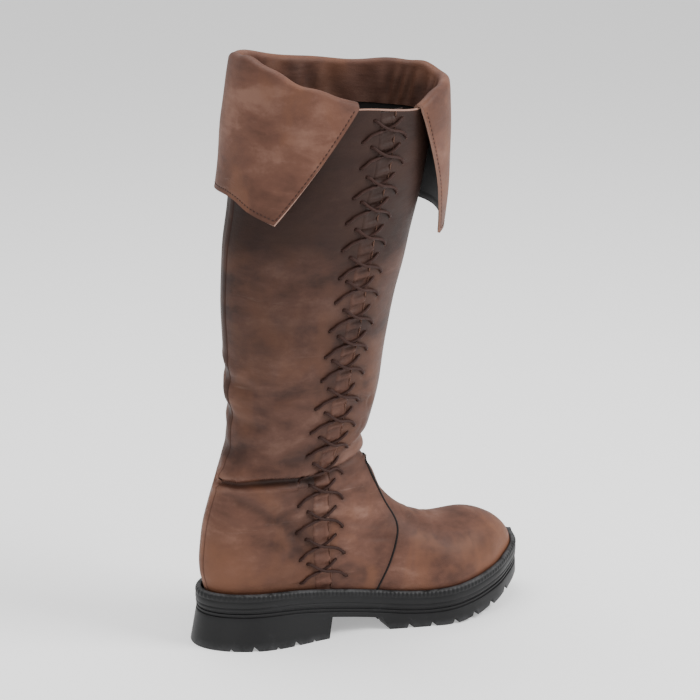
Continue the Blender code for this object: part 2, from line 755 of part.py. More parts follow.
def strand_mesh(name, points, parent, collection, material):
    """Round cord along points, as a closed mesh object."""
    curve = bpy.data.curves.new(name, "CURVE")
    curve.dimensions = "3D"
    curve.bevel_depth = 0.5 * LACE_DIAMETER
    curve.bevel_resolution = 2
    curve.use_fill_caps = True
    spline = curve.splines.new("POLY")
    spline.points.add(len(points) - 1)
    for target, point in zip(spline.points, points):
        target.co = (point.x, point.y, point.z, 1.0)
    guide = bpy.data.objects.new(name + "_guide", curve)
    collection.objects.link(guide)
    bpy.context.view_layer.update()
    data = bpy.data.meshes.new_from_object(guide.evaluated_get(bpy.context.evaluated_depsgraph_get()))
    bpy.data.objects.remove(guide)
    bpy.data.curves.remove(curve)
    mesh = bmesh.new()
    mesh.from_mesh(data)
    bpy.data.meshes.remove(data)
    bmesh.ops.remove_doubles(mesh, verts=mesh.verts[:], dist=1e-6)
    bmesh.ops.recalc_face_normals(mesh, faces=mesh.faces[:])
    return finish_object(name, mesh, collection, parent, material)


def crossing_points(number, side, lift):
    """Route of one strand, from its narrow upper eyelet across the throat to its wide lower one."""
    top = COLLAR_HEIGHT - FIRST_EYELET_DROP
    bottom = rim_top(throat_x(HEEL_BED)) + LAST_EYELET_RISE - 0.5 * LACE_DIAMETER
    pitch = (top - bottom) / (CROSSINGS - 1 + CROSS_SHARE)
    start = top - number * pitch
    drop = CROSS_SHARE * pitch
    out = 0.5 * LACE_DIAMETER + 2.5 * GAP
    points = []
    for share, raise_by in ((0.0, 0.0), (0.40, lift), (0.72, 0.0), (1.0, 0.0)):
        z = start - drop * share
        spread = -0.5 * NARROW_SPREAD + 0.5 * (NARROW_SPREAD + WIDE_SPREAD) * share
        points.append(side_point(throat_x(z) + side * spread, z, out + raise_by))
    return points


def make_lace(collection, cutters, parent, material):
    """Crossings of the lace, each the union of its two strands."""
    for number in range(CROSSINGS):
        name = "lace_crossing_%02d" % (number + 1)
        under = strand_mesh(name, crossing_points(number, 1.0, 0.0), parent, collection, material)
        over_points = crossing_points(number, -1.0, 0.5 * LACE_DIAMETER)
        over = strand_mesh(name + "_over", over_points, parent, cutters, None)
        over.hide_render = True
        over.display_type = "WIRE"
        add_boolean(under, over, "UNION")


def make_material(name):
    """Principled material with the finish's colour and roughness."""
    colour, roughness = FINISHES[name]
    material = bpy.data.materials.new(name)
    material.use_nodes = True
    shader = material.node_tree.nodes["Principled BSDF"]
    shader.inputs["Base Color"].default_value = colour
    shader.inputs["Roughness"].default_value = roughness
    shader.inputs["Metallic"].default_value = 0.0
    material.diffuse_color = colour
    return material


def add_collection(name):
    """New collection in the scene."""
    collection = bpy.data.collections.new(name)
    bpy.context.scene.collection.children.link(collection)
    return collection


def main():
    for item in list(bpy.data.objects):
        bpy.data.objects.remove(item)
    boot = add_collection("laced_boot")
    cutters = add_collection("cutters")
    origin = bpy.data.objects.new("boot_origin", None)
    origin.location = (-HEEL_REST, 0.0, 0.0)
    boot.objects.link(origin)
    finishes = {name: make_material(name) for name in FINISHES}
    make_outsole(boot, cutters, origin, finishes["sole_rubber"])
    make_midsole(boot, origin, finishes["sole_rubber"])
    make_insole(boot, origin, finishes["insole_cloth"])
    make_upper(boot, cutters, origin, finishes["leather"])
    make_tongue(boot, origin, finishes["tongue_leather"])
    make_cuff(boot, origin, finishes["cuff_leather"])
    make_lace(boot, cutters, origin, finishes["lace_cord"])


if __name__ == "__main__":
    main()
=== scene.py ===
"""Dressed tall laced boot: creased leather panels, folded cuff, lace, tongue, lining and moulded rubber sole.

The shapes repeat the part's own tables and functions, with X from the heel's back to the toe, -Y the outer
side and Z up. Every piece is moved to the part's origin, under the middle of the heel, when it is finished.
"""
import math

import bmesh
import bpy
import numpy as np
from bpy.props import FloatProperty, FloatVectorProperty, IntProperty, PointerProperty
from mathutils import Matrix, Vector, kdtree


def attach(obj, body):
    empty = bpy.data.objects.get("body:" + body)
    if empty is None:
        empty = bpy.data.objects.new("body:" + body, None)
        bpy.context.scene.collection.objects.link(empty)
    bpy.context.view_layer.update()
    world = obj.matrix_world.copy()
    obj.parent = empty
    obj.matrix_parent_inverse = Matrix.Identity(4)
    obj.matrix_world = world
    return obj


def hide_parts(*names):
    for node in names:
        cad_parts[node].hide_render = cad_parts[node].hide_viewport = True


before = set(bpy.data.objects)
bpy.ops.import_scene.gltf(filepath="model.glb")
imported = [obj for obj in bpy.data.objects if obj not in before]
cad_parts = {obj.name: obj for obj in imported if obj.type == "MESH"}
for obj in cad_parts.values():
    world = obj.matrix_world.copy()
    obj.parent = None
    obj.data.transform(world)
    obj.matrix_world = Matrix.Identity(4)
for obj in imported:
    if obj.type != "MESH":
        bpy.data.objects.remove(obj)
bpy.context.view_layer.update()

bl_info = {
    "name": "Tall laced boot",
    "version": (1, 0, 0),
    "blender": (4, 5, 0),
    "location": "View3D > Sidebar > Boot",
    "description": "Builds the pieces of a tall laced boot with a folded cuff",
    "category": "Object",
}

# Sizes shared with the part, in metres
SOLE_LENGTH = 0.288
BALL_WIDTH = 0.093
INSTEP_HEIGHT = 0.110
HEEL_BED = 0.038
BALL_BED = 0.0225
TOE_SPRING = 0.0205
TREAD_LIFT = 0.023
LIP_HEIGHT = 0.007
LIP_WIDTH = 0.005
BAND_HEIGHT = 0.014
HEEL_REST = 0.042
COLLAR_HEIGHT = 0.424
CALF_DEPTH = 0.151
CALF_WIDTH = 0.109
CUFF_DEPTH = 0.104
FACING_DEPTH = 0.034
FOLD_RADIUS = 0.0046
WALL = 0.0018
CUFF_LEATHER = 0.0022
GAP = 0.0003
FACET_GAP = 0.0008
SEAM_TAPER = 0.030
THROAT_GAP = 0.014
LACE_DIAMETER = 0.0026
CROSSINGS = 18
NARROW_SPREAD = 0.0245
WIDE_SPREAD = 0.039
FIRST_EYELET_DROP = 0.005
LAST_EYELET_RISE = 0.009
CROSS_SHARE = 0.76
GROOVE_HEIGHT = 0.0015
GROOVE_DEPTH = 0.0012
SOLE_FLARE = 0.0012
HEEL_FLARE = 0.0045
HEEL_SPREAD = 0.0015
SHANK_THICKNESS = 0.004
BREAST_SLANT = 0.003
BIG_NOTCH = (0.0052, 0.0042)
SMALL_NOTCH = (0.0028, 0.0018)
LUG_CHANNEL = (0.005, 0.003)
PLAN_STEPS = 22

# Ridge x and height, seat x and height, outer, inner, belly, centre: shares as in the part
FOOT = (
    (0.981, 0.045, 0.982, 0.030, 0.004, 0.004, 0.50, 0.15),
    (0.957, 0.17, 0.962, -0.08, 0.19, 0.165, 0.50, 0.14),
    (0.910, 0.30, 0.917, -0.12, 0.32, 0.285, 0.56, 0.11),
    (0.833, 0.425, 0.844, -0.13, 0.44, 0.40, 0.60, 0.055),
    (0.715, 0.493, 0.722, -0.13, 0.515, 0.475, 0.62, 0.01),
    (0.618, 0.612, 0.597, -0.13, 0.45, 0.425, 0.64, 0.0),
    (0.549, 0.765, 0.451, -0.13, 0.37, 0.39, 0.66, 0.0),
    (0.521, 0.92, 0.26, -0.14, 0.37, 0.38, 0.68, 0.0),
    (0.497, 1.00, 0.076, -0.12, 0.365, 0.39, 0.66, 0.0),
    (0.487, 1.08, 0.014, 0.14, 0.335, 0.40, 0.60, 0.0),
    (0.488, 1.15, 0.017, 0.43, 0.315, 0.41, 0.54, 0.0),
    (0.486, 1.22, 0.040, 0.70, 0.345, 0.42, 0.50, 0.0),
)

# Rise, centre, depth, outer, inner, tilt
SHAFT = (
    (0.09, 0.298, 0.785, 0.350, 0.385, -0.10),
    (0.22, 0.316, 0.835, 0.405, 0.415, 0.0),
    (0.35, 0.322, 0.876, 0.445, 0.450, 0.0),
    (0.48, 0.333, 0.940, 0.472, 0.472, 0.0),
    (0.61, 0.356, 0.995, 0.500, 0.500, 0.0),
    (0.74, 0.379, 1.015, 0.532, 0.532, 0.0),
    (0.87, 0.398, 1.040, 0.564, 0.564, 0.10),
    (1.0, 0.415, 1.075, 0.596, 0.596, 0.20),
    (1.16, 0.443, 1.125, 0.622, 0.622, 0.24),
)

# Height share, place share
THROAT = (
    (1.05, 0.468), (0.915, 0.462), (0.82, 0.432), (0.715, 0.413), (0.61, 0.392), (0.51, 0.368),
    (0.41, 0.351), (0.285, 0.330), (0.19, 0.320), (0.07, 0.329),
)
VAMP_SEAM = (
    (0.00, 0.478), (0.13, 0.490), (0.295, 0.521), (0.44, 0.545), (0.53, 0.556), (0.605, 0.552),
    (0.72, 0.530), (0.87, 0.505), (0.97, 0.493), (1.04, 0.499), (1.20, 0.66), (4.0, 2.0),
)

# Fold angle, fold height, hem angle, drop, stand-off, from the cuff's rear end round to its front end
CUFF = (
    (98.0, 1.021, 133.0, 0.82, 0.29),
    (125.0, 1.052, 147.0, 0.89, 0.21),
    (152.0, 1.084, 162.0, 0.96, 0.13),
    (180.0, 1.100, 180.0, 1.00, 0.10),
    (212.0, 1.090, 210.0, 0.98, 0.11),
    (270.0, 1.062, 270.0, 0.98, 0.16),
    (318.0, 1.054, 318.0, 1.02, 0.25),
    (350.0, 1.052, 350.0, 1.07, 0.30),
    (388.0, 1.036, 368.0, 1.11, 0.28),
    (418.0, 1.010, 378.0, 1.05, 0.23),
)

HEEL_BREAST = 0.337
FOREPART_START = 0.508
FLAT_END = 0.655
HEEL_NOTCHES = ((0.055, "small"), (0.115, "big"), (0.178, "small"), (0.235, "big"), (0.290, "small"))
FOREPART_NOTCHES = (0.575, 0.64, 0.705, 0.77, 0.835, 0.90)
FOREPART_CHANNELS = (-0.20, 0.24)

# Sizes of the dressed model alone, in metres
MILLIMETRE = 0.001
ANKLE_BAND = (0.116, 0.150)
ANKLE_MARGIN = 0.0035
SEAT_DEPTH = 0.0034
GUSSET_RISE = 0.0046
TONGUE_WIDTH = 0.036
TONGUE_DROP = 0.0045
LINING_THROAT = 0.0230
LACE_DIP = 0.0002
LACE_STEP = 0.0011
BACK_WALL = 0.0008
VAMP_INSET = 0.00005
FLAP_LENGTH = 0.115
END_LENGTH = 0.056
BELOW_TREAD = -0.006
TICK_HEIGHT = 0.00022
SWELL_HEIGHT = 0.0008
EYELET_DIMPLE = (0.00045, 0.0030)
PULL_WRINKLE = (0.0007, 0.0017)

# A strand between its two eyelets: shares across and down, and millimetres it is lifted as the upper strand
# of the crossing and as the lower one
LACE_ROUTE = (
    (0.07, 0.05, 0.0, 0.0), (0.20, 0.24, 0.5, 0.0), (0.39, 0.44, 1.7, -1.1), (0.62, 0.55, 0.5, 0.0),
    (0.82, 0.68, 0.0, 0.0), (0.94, 0.88, 0.0, 0.0),
)

# Materials of a leather piece: good side, cut edge and lined back
LEATHER_SIDES = ("leather", "edge", "lining")
CUFF_SIDES = ("cuff", "edge", "lining")

# Mesh columns and rows
LINING_GRID = (150, 214)
TONGUE_GRID = (30, 300)
BACK_GRID = (14, 330)
CUFF_GRID = (250, 92)
RIM_COLUMNS = 1400
SOLE_COLUMNS = 360
SIDE_ROWS = 10
CREASE_STEPS = 9
CURVE_STEPS = 24
STITCH_POINTS = 160

# Half widths from a crease at which it starts to fade and has gone, and the share of its length at each end
CREASE_REACH = (2.6, 3.6)
CREASE_END = 0.22

OUTER = 1
INNER = -1

# Creases worked into the leather: kind, height and half width in millimetres, then places in the side
# view in millimetres, with x below zero on the inner side. They run forward on the outer side and back on
# the inner one.
CREASES = (
    ("pocket", 4.3, 4.2, (
        (8, 131), (17, 133), (27, 136), (39, 138), (54, 138.5), (76, 137), (96, 137), (112, 140))),
    ("fold", 2.2, 4.4, ((-124, 140), (-100, 139), (-76, 138), (-46, 135), (-22, 132))),
    ("fold", 2.8, 3.8, ((96, 137), (115, 140), (131, 144), (141.5, 147), (-130, 145), (-110, 141))),
    ("trough", 2.1, 6.2, ((20, 122), (28, 119), (44, 110), (59, 100), (69, 91), (78, 82))),
    ("ridge", 1.3, 4.6, ((40, 121), (55, 112), (70, 104), (82, 98))),
    ("trough", 1.0, 2.6, ((104, 87), (124, 80), (143, 76), (156, 76))),
    ("ridge", 0.9, 3.0, ((104, 93), (124, 86), (145, 81))),
    ("trough", 0.9, 2.6, ((52, 50), (62, 54), (72, 59), (84, 66))),
    ("trough", 0.9, 2.8, ((56, 70), (70, 75), (84, 83))),
    ("ridge", 0.9, 2.6, ((50, 117), (60, 114), (72, 112), (84, 113))),
    ("trough", 1.1, 2.8, ((60, 99), (74, 100), (87, 104))),
    ("trough", 1.0, 2.8, ((106, 118), (118, 121), (132, 126))),
    ("trough", 0.8, 2.6, ((106, 68), (116, 64), (130, 62))),
    ("ridge", 1.1, 7.0, ((37, 193), (44, 211), (52, 231), (60, 246), (67, 262))),
    ("trough", 1.5, 4.6, ((-46, 224), (-30, 222), (19, 219), (27, 216), (37, 210), (50, 203))),
    ("ridge", 1.4, 6.0, ((-46, 207), (-28, 205), (18, 204), (28, 202), (40, 196))),
    ("trough", 1.7, 4.8, ((-48, 194), (-30, 192), (17, 189), (28, 186), (40, 180), (54, 176))),
    ("trough", 1.2, 4.6, ((-40, 160), (-24, 159), (14, 157), (27, 158), (42, 163), (58, 165))),
    ("trough", 1.5, 4.0, ((100, 190), (116, 194), (129, 192), (134, 191), (-122, 193), (-104, 196))),
    ("ridge", 1.6, 6.5, ((104, 172), (122, 173), (131, 173), (-120, 173), (-104, 172))),
    ("trough", 1.0, 5.5, ((48, 205), (60, 207), (74, 212))),
    ("trough", 0.9, 6.5, ((38, 262), (56, 257), (74, 250))),
    ("ridge", 0.8, 6.5, ((40, 278), (60, 272), (82, 268))),
    ("trough", 0.8, 7.0, ((44, 306), (64, 298), (88, 294))),
    ("trough", 0.9, 4.0, ((56, 150), (70, 152), (86, 156))),
    ("ridge", 1.0, 4.5, ((112, 152), (124, 158), (131, 164))),
    ("trough", 2.0, 4.8, ((-112, 116), (-88, 118), (-60, 123), (-34, 127), (-20, 128))),
    ("trough", 1.4, 4.6, ((-128, 124), (-108, 104), (-88, 92), (-74, 86))),
    ("ridge", 1.2, 5.5, ((-116, 160), (-86, 156), (-56, 155), (-34, 158))),
    ("trough", 1.3, 5.5, ((-108, 182), (-80, 176), (-52, 178), (-34, 184))),
    ("trough", 1.0, 6.5, ((-112, 232), (-84, 224), (-54, 229))),
    ("ridge", 1.0, 6.5, ((-104, 252), (-78, 246), (-50, 250))),
    ("trough", 0.9, 7.0, ((-98, 276), (-70, 268), (-42, 272))),
    ("trough", 0.8, 3.6, ((-92, 66), (-74, 60), (-58, 58))),
    ("trough", 0.45, 2.6, ((193, 62), (198, 74), (200, 82), (-199, 76), (-194, 64))),
    ("trough", 0.40, 2.6, ((180, 64), (184, 78), (186, 88), (-184, 80), (-180, 68))),
    ("trough", 0.35, 2.2, ((196, 76), (208, 73), (220, 71))),
)


def smoothstep(low, high, value):
    """Smooth ramp from 0 at low to 1 at high."""
    t = np.clip((value - low) / (high - low), 0.0, 1.0)
    return t * t * (3.0 - 2.0 * t)


def catmull(rows, place):
    """Rows at places (0 to len - 1) on a Catmull-Rom curve through a table."""
    rows = np.asarray(rows, float)
    padded = np.vstack((2.0 * rows[0] - rows[1], rows, 2.0 * rows[-1] - rows[-2]))
    place = np.asarray(place, float)
    i = np.clip(np.floor(place).astype(int), 0, len(rows) - 2)
    t = (place - i)[..., None]
    a, b, c, d = (padded[i + k] for k in range(4))
    cubic = 3.0 * b - a - 3.0 * c + d
    square = 2.0 * a - 5.0 * b + 4.0 * c - d
    return 0.5 * (2.0 * b + (c - a) * t + square * t ** 2 + cubic * t ** 3)


def solve(function, low, high):
    """Roots of a function that changes sign between low and high, one for each entry."""
    sign = function(low) > 0.0
    for _ in range(34):
        middle = 0.5 * (low + high)
        same = (function(middle) > 0.0) == sign
        low = np.where(same, middle, low)
        high = np.where(same, high, middle)
    return 0.5 * (low + high)


def lookup(rows):
    """Function that reads the smooth curve through a table of keys and values, in order of its keys."""
    dense = catmull(rows, np.linspace(0.0, len(rows) - 1.0, 3000))
    rising = dense[:, 0] if rows[-1][0] > rows[0][0] else -dense[:, 0]
    kept = dense[rising >= np.maximum.accumulate(rising)]
    kept = kept[np.argsort(kept[:, 0])]
    return lambda key: np.interp(key, kept[:, 0], kept[:, 1])


THROAT_CURVE = lookup(THROAT)
SEAM_CURVE = lookup(VAMP_SEAM)


def footbed(x):
    """Height of the footbed at a distance from the heel's back."""
    drop = 1.0 - smoothstep(0.17 * SOLE_LENGTH, 0.64 * SOLE_LENGTH, x)
    forward = np.maximum(x / SOLE_LENGTH - 0.62, 0.0) / 0.38
    return BALL_BED + (HEEL_BED - BALL_BED) * drop + TOE_SPRING * forward ** 1.7


def rim_top(x):
    """Top of the rubber rim round the upper."""
    return footbed(x) + LIP_HEIGHT


def split_height(x):
    """Joint between the rim's band and the outsole."""
    return rim_top(x) - BAND_HEIGHT


def tread_height(x):
    """Bottom of the forepart, flat on the floor and then rising to the toe."""
    forward = np.maximum(x / SOLE_LENGTH - FLAT_END, 0.0) / (1.0 - FLAT_END)
    return TREAD_LIFT * forward ** 1.8


def boot_sections():
    """Sections in metres: ridge x and z, seat x and z, outer and inner half widths, belly, centre."""
    rows = []
    for ridge_x, ridge_h, seat_x, seat_h, outer, inner, belly, centre in FOOT:
        x = ridge_x * SOLE_LENGTH
        back = seat_x * SOLE_LENGTH
        rows.append((
            x, float(footbed(x)) + ridge_h * INSTEP_HEIGHT,
            back, float(footbed(back)) + seat_h * INSTEP_HEIGHT,
            outer * BALL_WIDTH, inner * BALL_WIDTH, belly, centre * BALL_WIDTH))
    ankle = 0.5 * (rows[-1][1] + rows[-1][3])
    for rise, centre, depth, outer, inner, tilt in SHAFT:
        z = ankle + rise * (COLLAR_HEIGHT - ankle)
        lean = 0.5 * tilt * CUFF_DEPTH
        half = 0.5 * depth * CALF_DEPTH
        middle = centre * SOLE_LENGTH
        rows.append((
            middle + half, z - lean, middle - half, z + lean,
            outer * CALF_WIDTH, inner * CALF_WIDTH, 0.5, 0.0))
    return np.array(rows)


SECTIONS = boot_sections()
LAST_SECTION = len(SECTIONS) - 1.0
ANKLE_SECTION = len(FOOT) - 1.0
HEEL_CURVE_START = 6.0


def run_lengths(points):
    """Length along a line up to each of its points."""
    return np.concatenate(([0.0], np.cumsum(np.linalg.norm(np.diff(points, axis=0), axis=1))))


def upper_points(s, angle):
    """Points of the plain outside at sections s, at angles from the front or ridge, outer side first."""
    ridge_x, ridge_z, seat_x, seat_z, outer, inner, belly, centre = catmull(SECTIONS, s).T
    cosine = np.cos(angle)
    sine = np.sin(angle)
    along = belly - cosine * np.where(cosine > 0.0, belly, 1.0 - belly)
    y = centre - sine * np.where(sine > 0.0, outer, inner)
    return np.column_stack((ridge_x + (seat_x - ridge_x) * along, y, ridge_z + (seat_z - ridge_z) * along))


def unit(vectors):
    """Rows scaled to length one."""
    return vectors / np.maximum(np.linalg.norm(vectors, axis=1), 1e-12)[:, None]


def upper_normals(s, angle):
    """Outward directions of the plain outside."""
    step = 0.01
    ahead = upper_points(np.minimum(s + step, LAST_SECTION), angle)
    along = ahead - upper_points(np.maximum(s - step, 0.0), angle)
    around = upper_points(s, angle + step) - upper_points(s, angle - step)
    return unit(np.cross(along, around))


def side_places(x, z, side):
    """Sections and angles of the upper at points of the side view."""
    x = np.asarray(x, float)
    z = np.asarray(z, float)

    def across(s):
        ridge_x, ridge_z, seat_x, seat_z = catmull(SECTIONS, s).T[:4]
        return (seat_x - ridge_x) * (z - ridge_z) - (seat_z - ridge_z) * (x - ridge_x)

    s = solve(across, np.zeros_like(x), np.full_like(x, LAST_SECTION))
    ridge_x, ridge_z, seat_x, seat_z, _, _, belly, _ = catmull(SECTIONS, s).T
    length = np.hypot(seat_x - ridge_x, seat_z - ridge_z)
    along = ((x - ridge_x) * (seat_x - ridge_x) + (z - ridge_z) * (seat_z - ridge_z)) / length ** 2
    along = np.clip(along, 0.0, 1.0)
    share = np.where(along < belly, belly, 1.0 - belly)
    angle = np.arccos(np.clip((belly - along) / share, -1.0, 1.0))
    return s, np.where(np.asarray(side) > 0, angle, 2.0 * math.pi - angle)


def section_at_height(angle, z):
    """Sections of the shaft that reach heights at angles round it."""
    low = np.full_like(angle, ANKLE_SECTION)
    high = np.full_like(angle, LAST_SECTION)
    return solve(lambda s: upper_points(s, angle)[:, 2] - z, low, high)


def cuff_rows(place):
    """Cuff's numbers at places along its table, in radians and metres."""
    fold_angle, fold, hem_angle, drop, stand_off = catmull(CUFF, place).T
    fold = fold * COLLAR_HEIGHT
    hem = fold - drop * CUFF_DEPTH
    return np.radians(fold_angle), fold, np.radians(hem_angle), hem, stand_off * CUFF_DEPTH


def fold_height(angle):
    """Height of the cuff's fold at angles, and of the line between its ends across the lacing."""
    first, first_height, _, _, _ = cuff_rows(np.array([0.0]))
    final, final_height, _, _, _ = cuff_rows(np.array([len(CUFF) - 1.0]))
    turn = np.where(angle < first[0], angle + 2.0 * math.pi, angle)
    share = (turn - final[0]) / (first[0] + 2.0 * math.pi - final[0])
    between = final_height[0] + (first_height[0] - final_height[0]) * smoothstep(0.0, 1.0, share)
    place = solve(lambda t: cuff_rows(t)[0] - turn, np.zeros_like(turn), np.full_like(turn, len(CUFF) - 1.0))
    return np.where(turn > final[0], between, cuff_rows(place)[1])


def throat_x(z):
    """Middle of the lacing at heights."""
    return THROAT_CURVE(z / COLLAR_HEIGHT) * SOLE_LENGTH


def seam_x(z):
    """Front edge of the shaft's panels at heights."""
    return SEAM_CURVE((z - BALL_BED) / INSTEP_HEIGHT) * SOLE_LENGTH


def crease_strokes():
    """Each crease as kind, height, half width, centre line, upward sides of the line and shares along it."""
    strokes = []
    for kind, height, width, places in CREASES:
        x, z = MILLIMETRE * np.array(places, float).T
        s, angle = side_places(np.abs(x), z, np.sign(x))
        dense = np.linspace(0.0, len(places) - 1.0, CREASE_STEPS * len(places))
        line = catmull(upper_points(s, angle), dense)
        normals = unit(catmull(upper_normals(s, angle), dense))
        ups = unit(np.cross(normals, unit(np.gradient(line, axis=0))))
        strokes.append((kind, MILLIMETRE * height, MILLIMETRE * width, line, ups, dense / dense[-1]))
    return strokes


STROKES = crease_strokes()


def crease_profile(kind, d, share):
    """Height across a crease at signed distances in half widths and shares along it."""
    if kind == "ridge":
        return np.exp(-d ** 2)
    if kind == "trough":
        return 0.38 * np.exp(-(np.abs(d) - 2.0) ** 2) - np.exp(-d ** 2)
    if kind == "fold":
        return 0.62 * np.exp(-((d - 0.85) / 1.25) ** 2) - 0.80 * np.exp(-((d + 0.62) / 0.62) ** 2)
    far = 0.65 + 0.85 * smoothstep(0.05, 0.55, share)
    edge = 0.60 * np.exp(-((d - 0.70) / 1.15) ** 2)
    pocket = 1.05 * smoothstep(-0.25, 0.55, -d) * (1.0 - smoothstep(far - 0.35, far + 0.75, -d))
    return edge - pocket + 0.34 * np.exp(-((d + far + 0.98) / 0.40) ** 2)


def wobble(points, waves):
    """Slow uneven swell: sines along a few slanted directions."""
    total = np.zeros(len(points))
    for length, tilt, turn, phase in waves:
        level = math.cos(tilt)
        direction = np.array((math.cos(turn) * level, math.sin(turn) * level, math.sin(tilt)))
        total += np.sin(points @ direction * (2.0 * math.pi / length) + phase)
    return total / len(waves)


SLOW_WAVES = (
    (0.061, 0.9, 0.4, 0.3), (0.047, -0.5, 1.3, 1.9), (0.083, 1.2, 2.2, 4.1),
    (0.035, 0.2, 0.9, 2.7), (0.052, -1.0, 2.9, 5.2),
)


def eyelet_table():
    """Lacing holes as distance in front of the throat's middle and height: the narrow ones, the wide ones."""
    top = COLLAR_HEIGHT - FIRST_EYELET_DROP
    bottom = float(rim_top(throat_x(HEEL_BED))) + LAST_EYELET_RISE - 0.5 * LACE_DIAMETER
    pitch = (top - bottom) / (CROSSINGS - 1 + CROSS_SHARE)
    narrow = []
    wide = []
    for number in range(CROSSINGS):
        start = top - number * pitch
        shift = 0.0011 * math.sin(2.3 * number) if 0 < number < CROSSINGS - 1 else 0.0
        for side in (-1.0, 1.0):
            uneven = 0.0008 * math.sin(1.7 * number + side)
            narrow.append((side * (0.5 * NARROW_SPREAD + uneven), start + shift))
            wide.append((side * (0.5 * WIDE_SPREAD - uneven), start - CROSS_SHARE * pitch + shift))
    return np.array(narrow), np.array(wide)


NARROW_EYELETS, WIDE_EYELETS = eyelet_table()
EYELETS = np.vstack((NARROW_EYELETS, WIDE_EYELETS))


def plain_side(distance, z):
    """Points of the plain outside at distances in front of the throat's middle, with sections and angles."""
    z = np.asarray(z, float)
    s, angle = side_places(throat_x(z) + np.asarray(distance, float), z, OUTER)
    return upper_points(s, angle), s, angle


EYELET_POINTS = plain_side(EYELETS[:, 0], EYELETS[:, 1])[0]
PULL_ENDS = plain_side(1.75 * WIDE_EYELETS[:, 0], WIDE_EYELETS[:, 1] + 0.001)[0]
PULL_STARTS = EYELET_POINTS[len(NARROW_EYELETS):]


def relief(points):
    """How far the creased leather stands off the plain outside, in metres."""
    total = SWELL_HEIGHT * wobble(points, SLOW_WAVES)
    total *= 1.0 - 0.7 * smoothstep(0.135, 0.165, points[:, 0]) * (points[:, 2] < 0.14)
    for kind, height, width, line, ups, shares in STROKES:
        reach = CREASE_REACH[1] * width
        near = np.all((points > line.min(0) - reach) & (points < line.max(0) + reach), axis=1)
        index = np.nonzero(near)[0]
        if len(index) == 0:
            continue
        offset = points[index, None, :] - line[None, :, :]
        distance = np.linalg.norm(offset, axis=2)
        nearest = distance.argmin(1)
        rows = np.arange(len(index))
        away = distance[rows, nearest] / width
        signed = np.sign(np.einsum("ij,ij->i", offset[rows, nearest], ups[nearest])) * away
        share = shares[nearest]
        fade = smoothstep(0.0, CREASE_END, share) * (1.0 - smoothstep(1.0 - CREASE_END, 1.0, share))
        beyond = 1.0 - smoothstep(*CREASE_REACH, away)
        total[index] += height * fade * beyond * crease_profile(kind, signed, share)
    depth, radius = EYELET_DIMPLE
    for point in EYELET_POINTS:
        near = np.linalg.norm(points - point, axis=1)
        total -= depth * np.exp(-(near / radius) ** 2)
    depth, radius = PULL_WRINKLE
    for start, end in zip(PULL_STARTS, PULL_ENDS):
        run = end - start
        share = np.clip((points - start) @ run / (run @ run), 0.0, 1.0)
        near = np.linalg.norm(points - start - share[:, None] * run, axis=1)
        total -= depth * (1.0 - share) * np.exp(-(near / radius) ** 2)
    collar = 1.0 - 0.75 * smoothstep(0.385, 0.41, points[:, 2])
    feather = smoothstep(0.003, 0.014, points[:, 2] - footbed(points[:, 0]))
    return total * collar * feather


def skin(s, angle, out):
    """Points of the creased outside moved out along its normals, and the relief there."""
    base = upper_points(s, angle)
    rise = relief(base)
    return base + upper_normals(s, angle) * (rise + out)[:, None], rise


def skin_side(distance, z, out):
    """Creased points at distances in front of the throat's middle, on the outer side."""
    _, s, angle = plain_side(distance, z)
    return skin(s, angle, out)[0]


# Mesh helpers


def unit_grid(columns, rows):
    """Bmesh of a flat grid with x and y from 0 to 1."""
    mesh = bmesh.new()
    bmesh.ops.create_grid(mesh, x_segments=columns, y_segments=rows, size=0.5)
    bmesh.ops.translate(mesh, verts=mesh.verts[:], vec=(0.5, 0.5, 0.0))
    return mesh


def coordinates(mesh):
    """Vertex places as an array."""
    return np.array([vertex.co for vertex in mesh.verts])


def move_to(mesh, points):
    """Put each vertex at its row."""
    for vertex, point in zip(mesh.verts, points):
        vertex.co = point


def mark(mesh, name, values):
    """Store a number on each vertex, for the material."""
    layer = mesh.verts.layers.float.get(name) or mesh.verts.layers.float.new(name)
    for vertex, value in zip(mesh.verts, values):
        vertex[layer] = float(value)


def merge(mesh, distance=1e-6):
    """Join the vertices that lie on one place."""
    bmesh.ops.remove_doubles(mesh, verts=mesh.verts[:], dist=distance)


def face_outwards(mesh):
    """Turn the faces of a closed or cup-shaped mesh outwards."""
    bmesh.ops.recalc_face_normals(mesh, faces=mesh.faces[:])
    if mesh.calc_volume(signed=True) < 0.0:
        bmesh.ops.reverse_faces(mesh, faces=mesh.faces[:])


def sheared_cut(mesh, function, axis, clear_low=False, clear_high=False, faces=None):
    """Cut a mesh where its coordinate on an axis equals a function of its points, clearing one side."""
    for vertex, value in zip(mesh.verts, function(coordinates(mesh))):
        vertex.co[axis] -= value
    normal = Vector((0.0, 0.0, 0.0))
    normal[axis] = 1.0
    if faces is None:
        faces = mesh.faces[:]
    edges = list({edge for face in faces for edge in face.edges})
    verts = list({vertex for face in faces for vertex in face.verts})
    bmesh.ops.bisect_plane(
        mesh, geom=verts + edges + list(faces), dist=5e-5, plane_co=(0.0, 0.0, 0.0), plane_no=normal,
        clear_inner=clear_low, clear_outer=clear_high)
    for vertex, value in zip(mesh.verts, function(coordinates(mesh))):
        vertex.co[axis] += value


def new_object(name, data):
    """Object in the scene with that data."""
    item = bpy.data.objects.new(name, data)
    bpy.context.scene.collection.objects.link(item)
    return item


def mesh_object(name, mesh):
    """Object of a bmesh, which is freed."""
    data = bpy.data.meshes.new(name)
    mesh.to_mesh(data)
    mesh.free()
    return new_object(name, data)


def finished_mesh(item):
    """Mesh of an object with its modifiers."""
    bpy.context.view_layer.update()
    return bpy.data.meshes.new_from_object(item.evaluated_get(bpy.context.evaluated_depsgraph_get()))


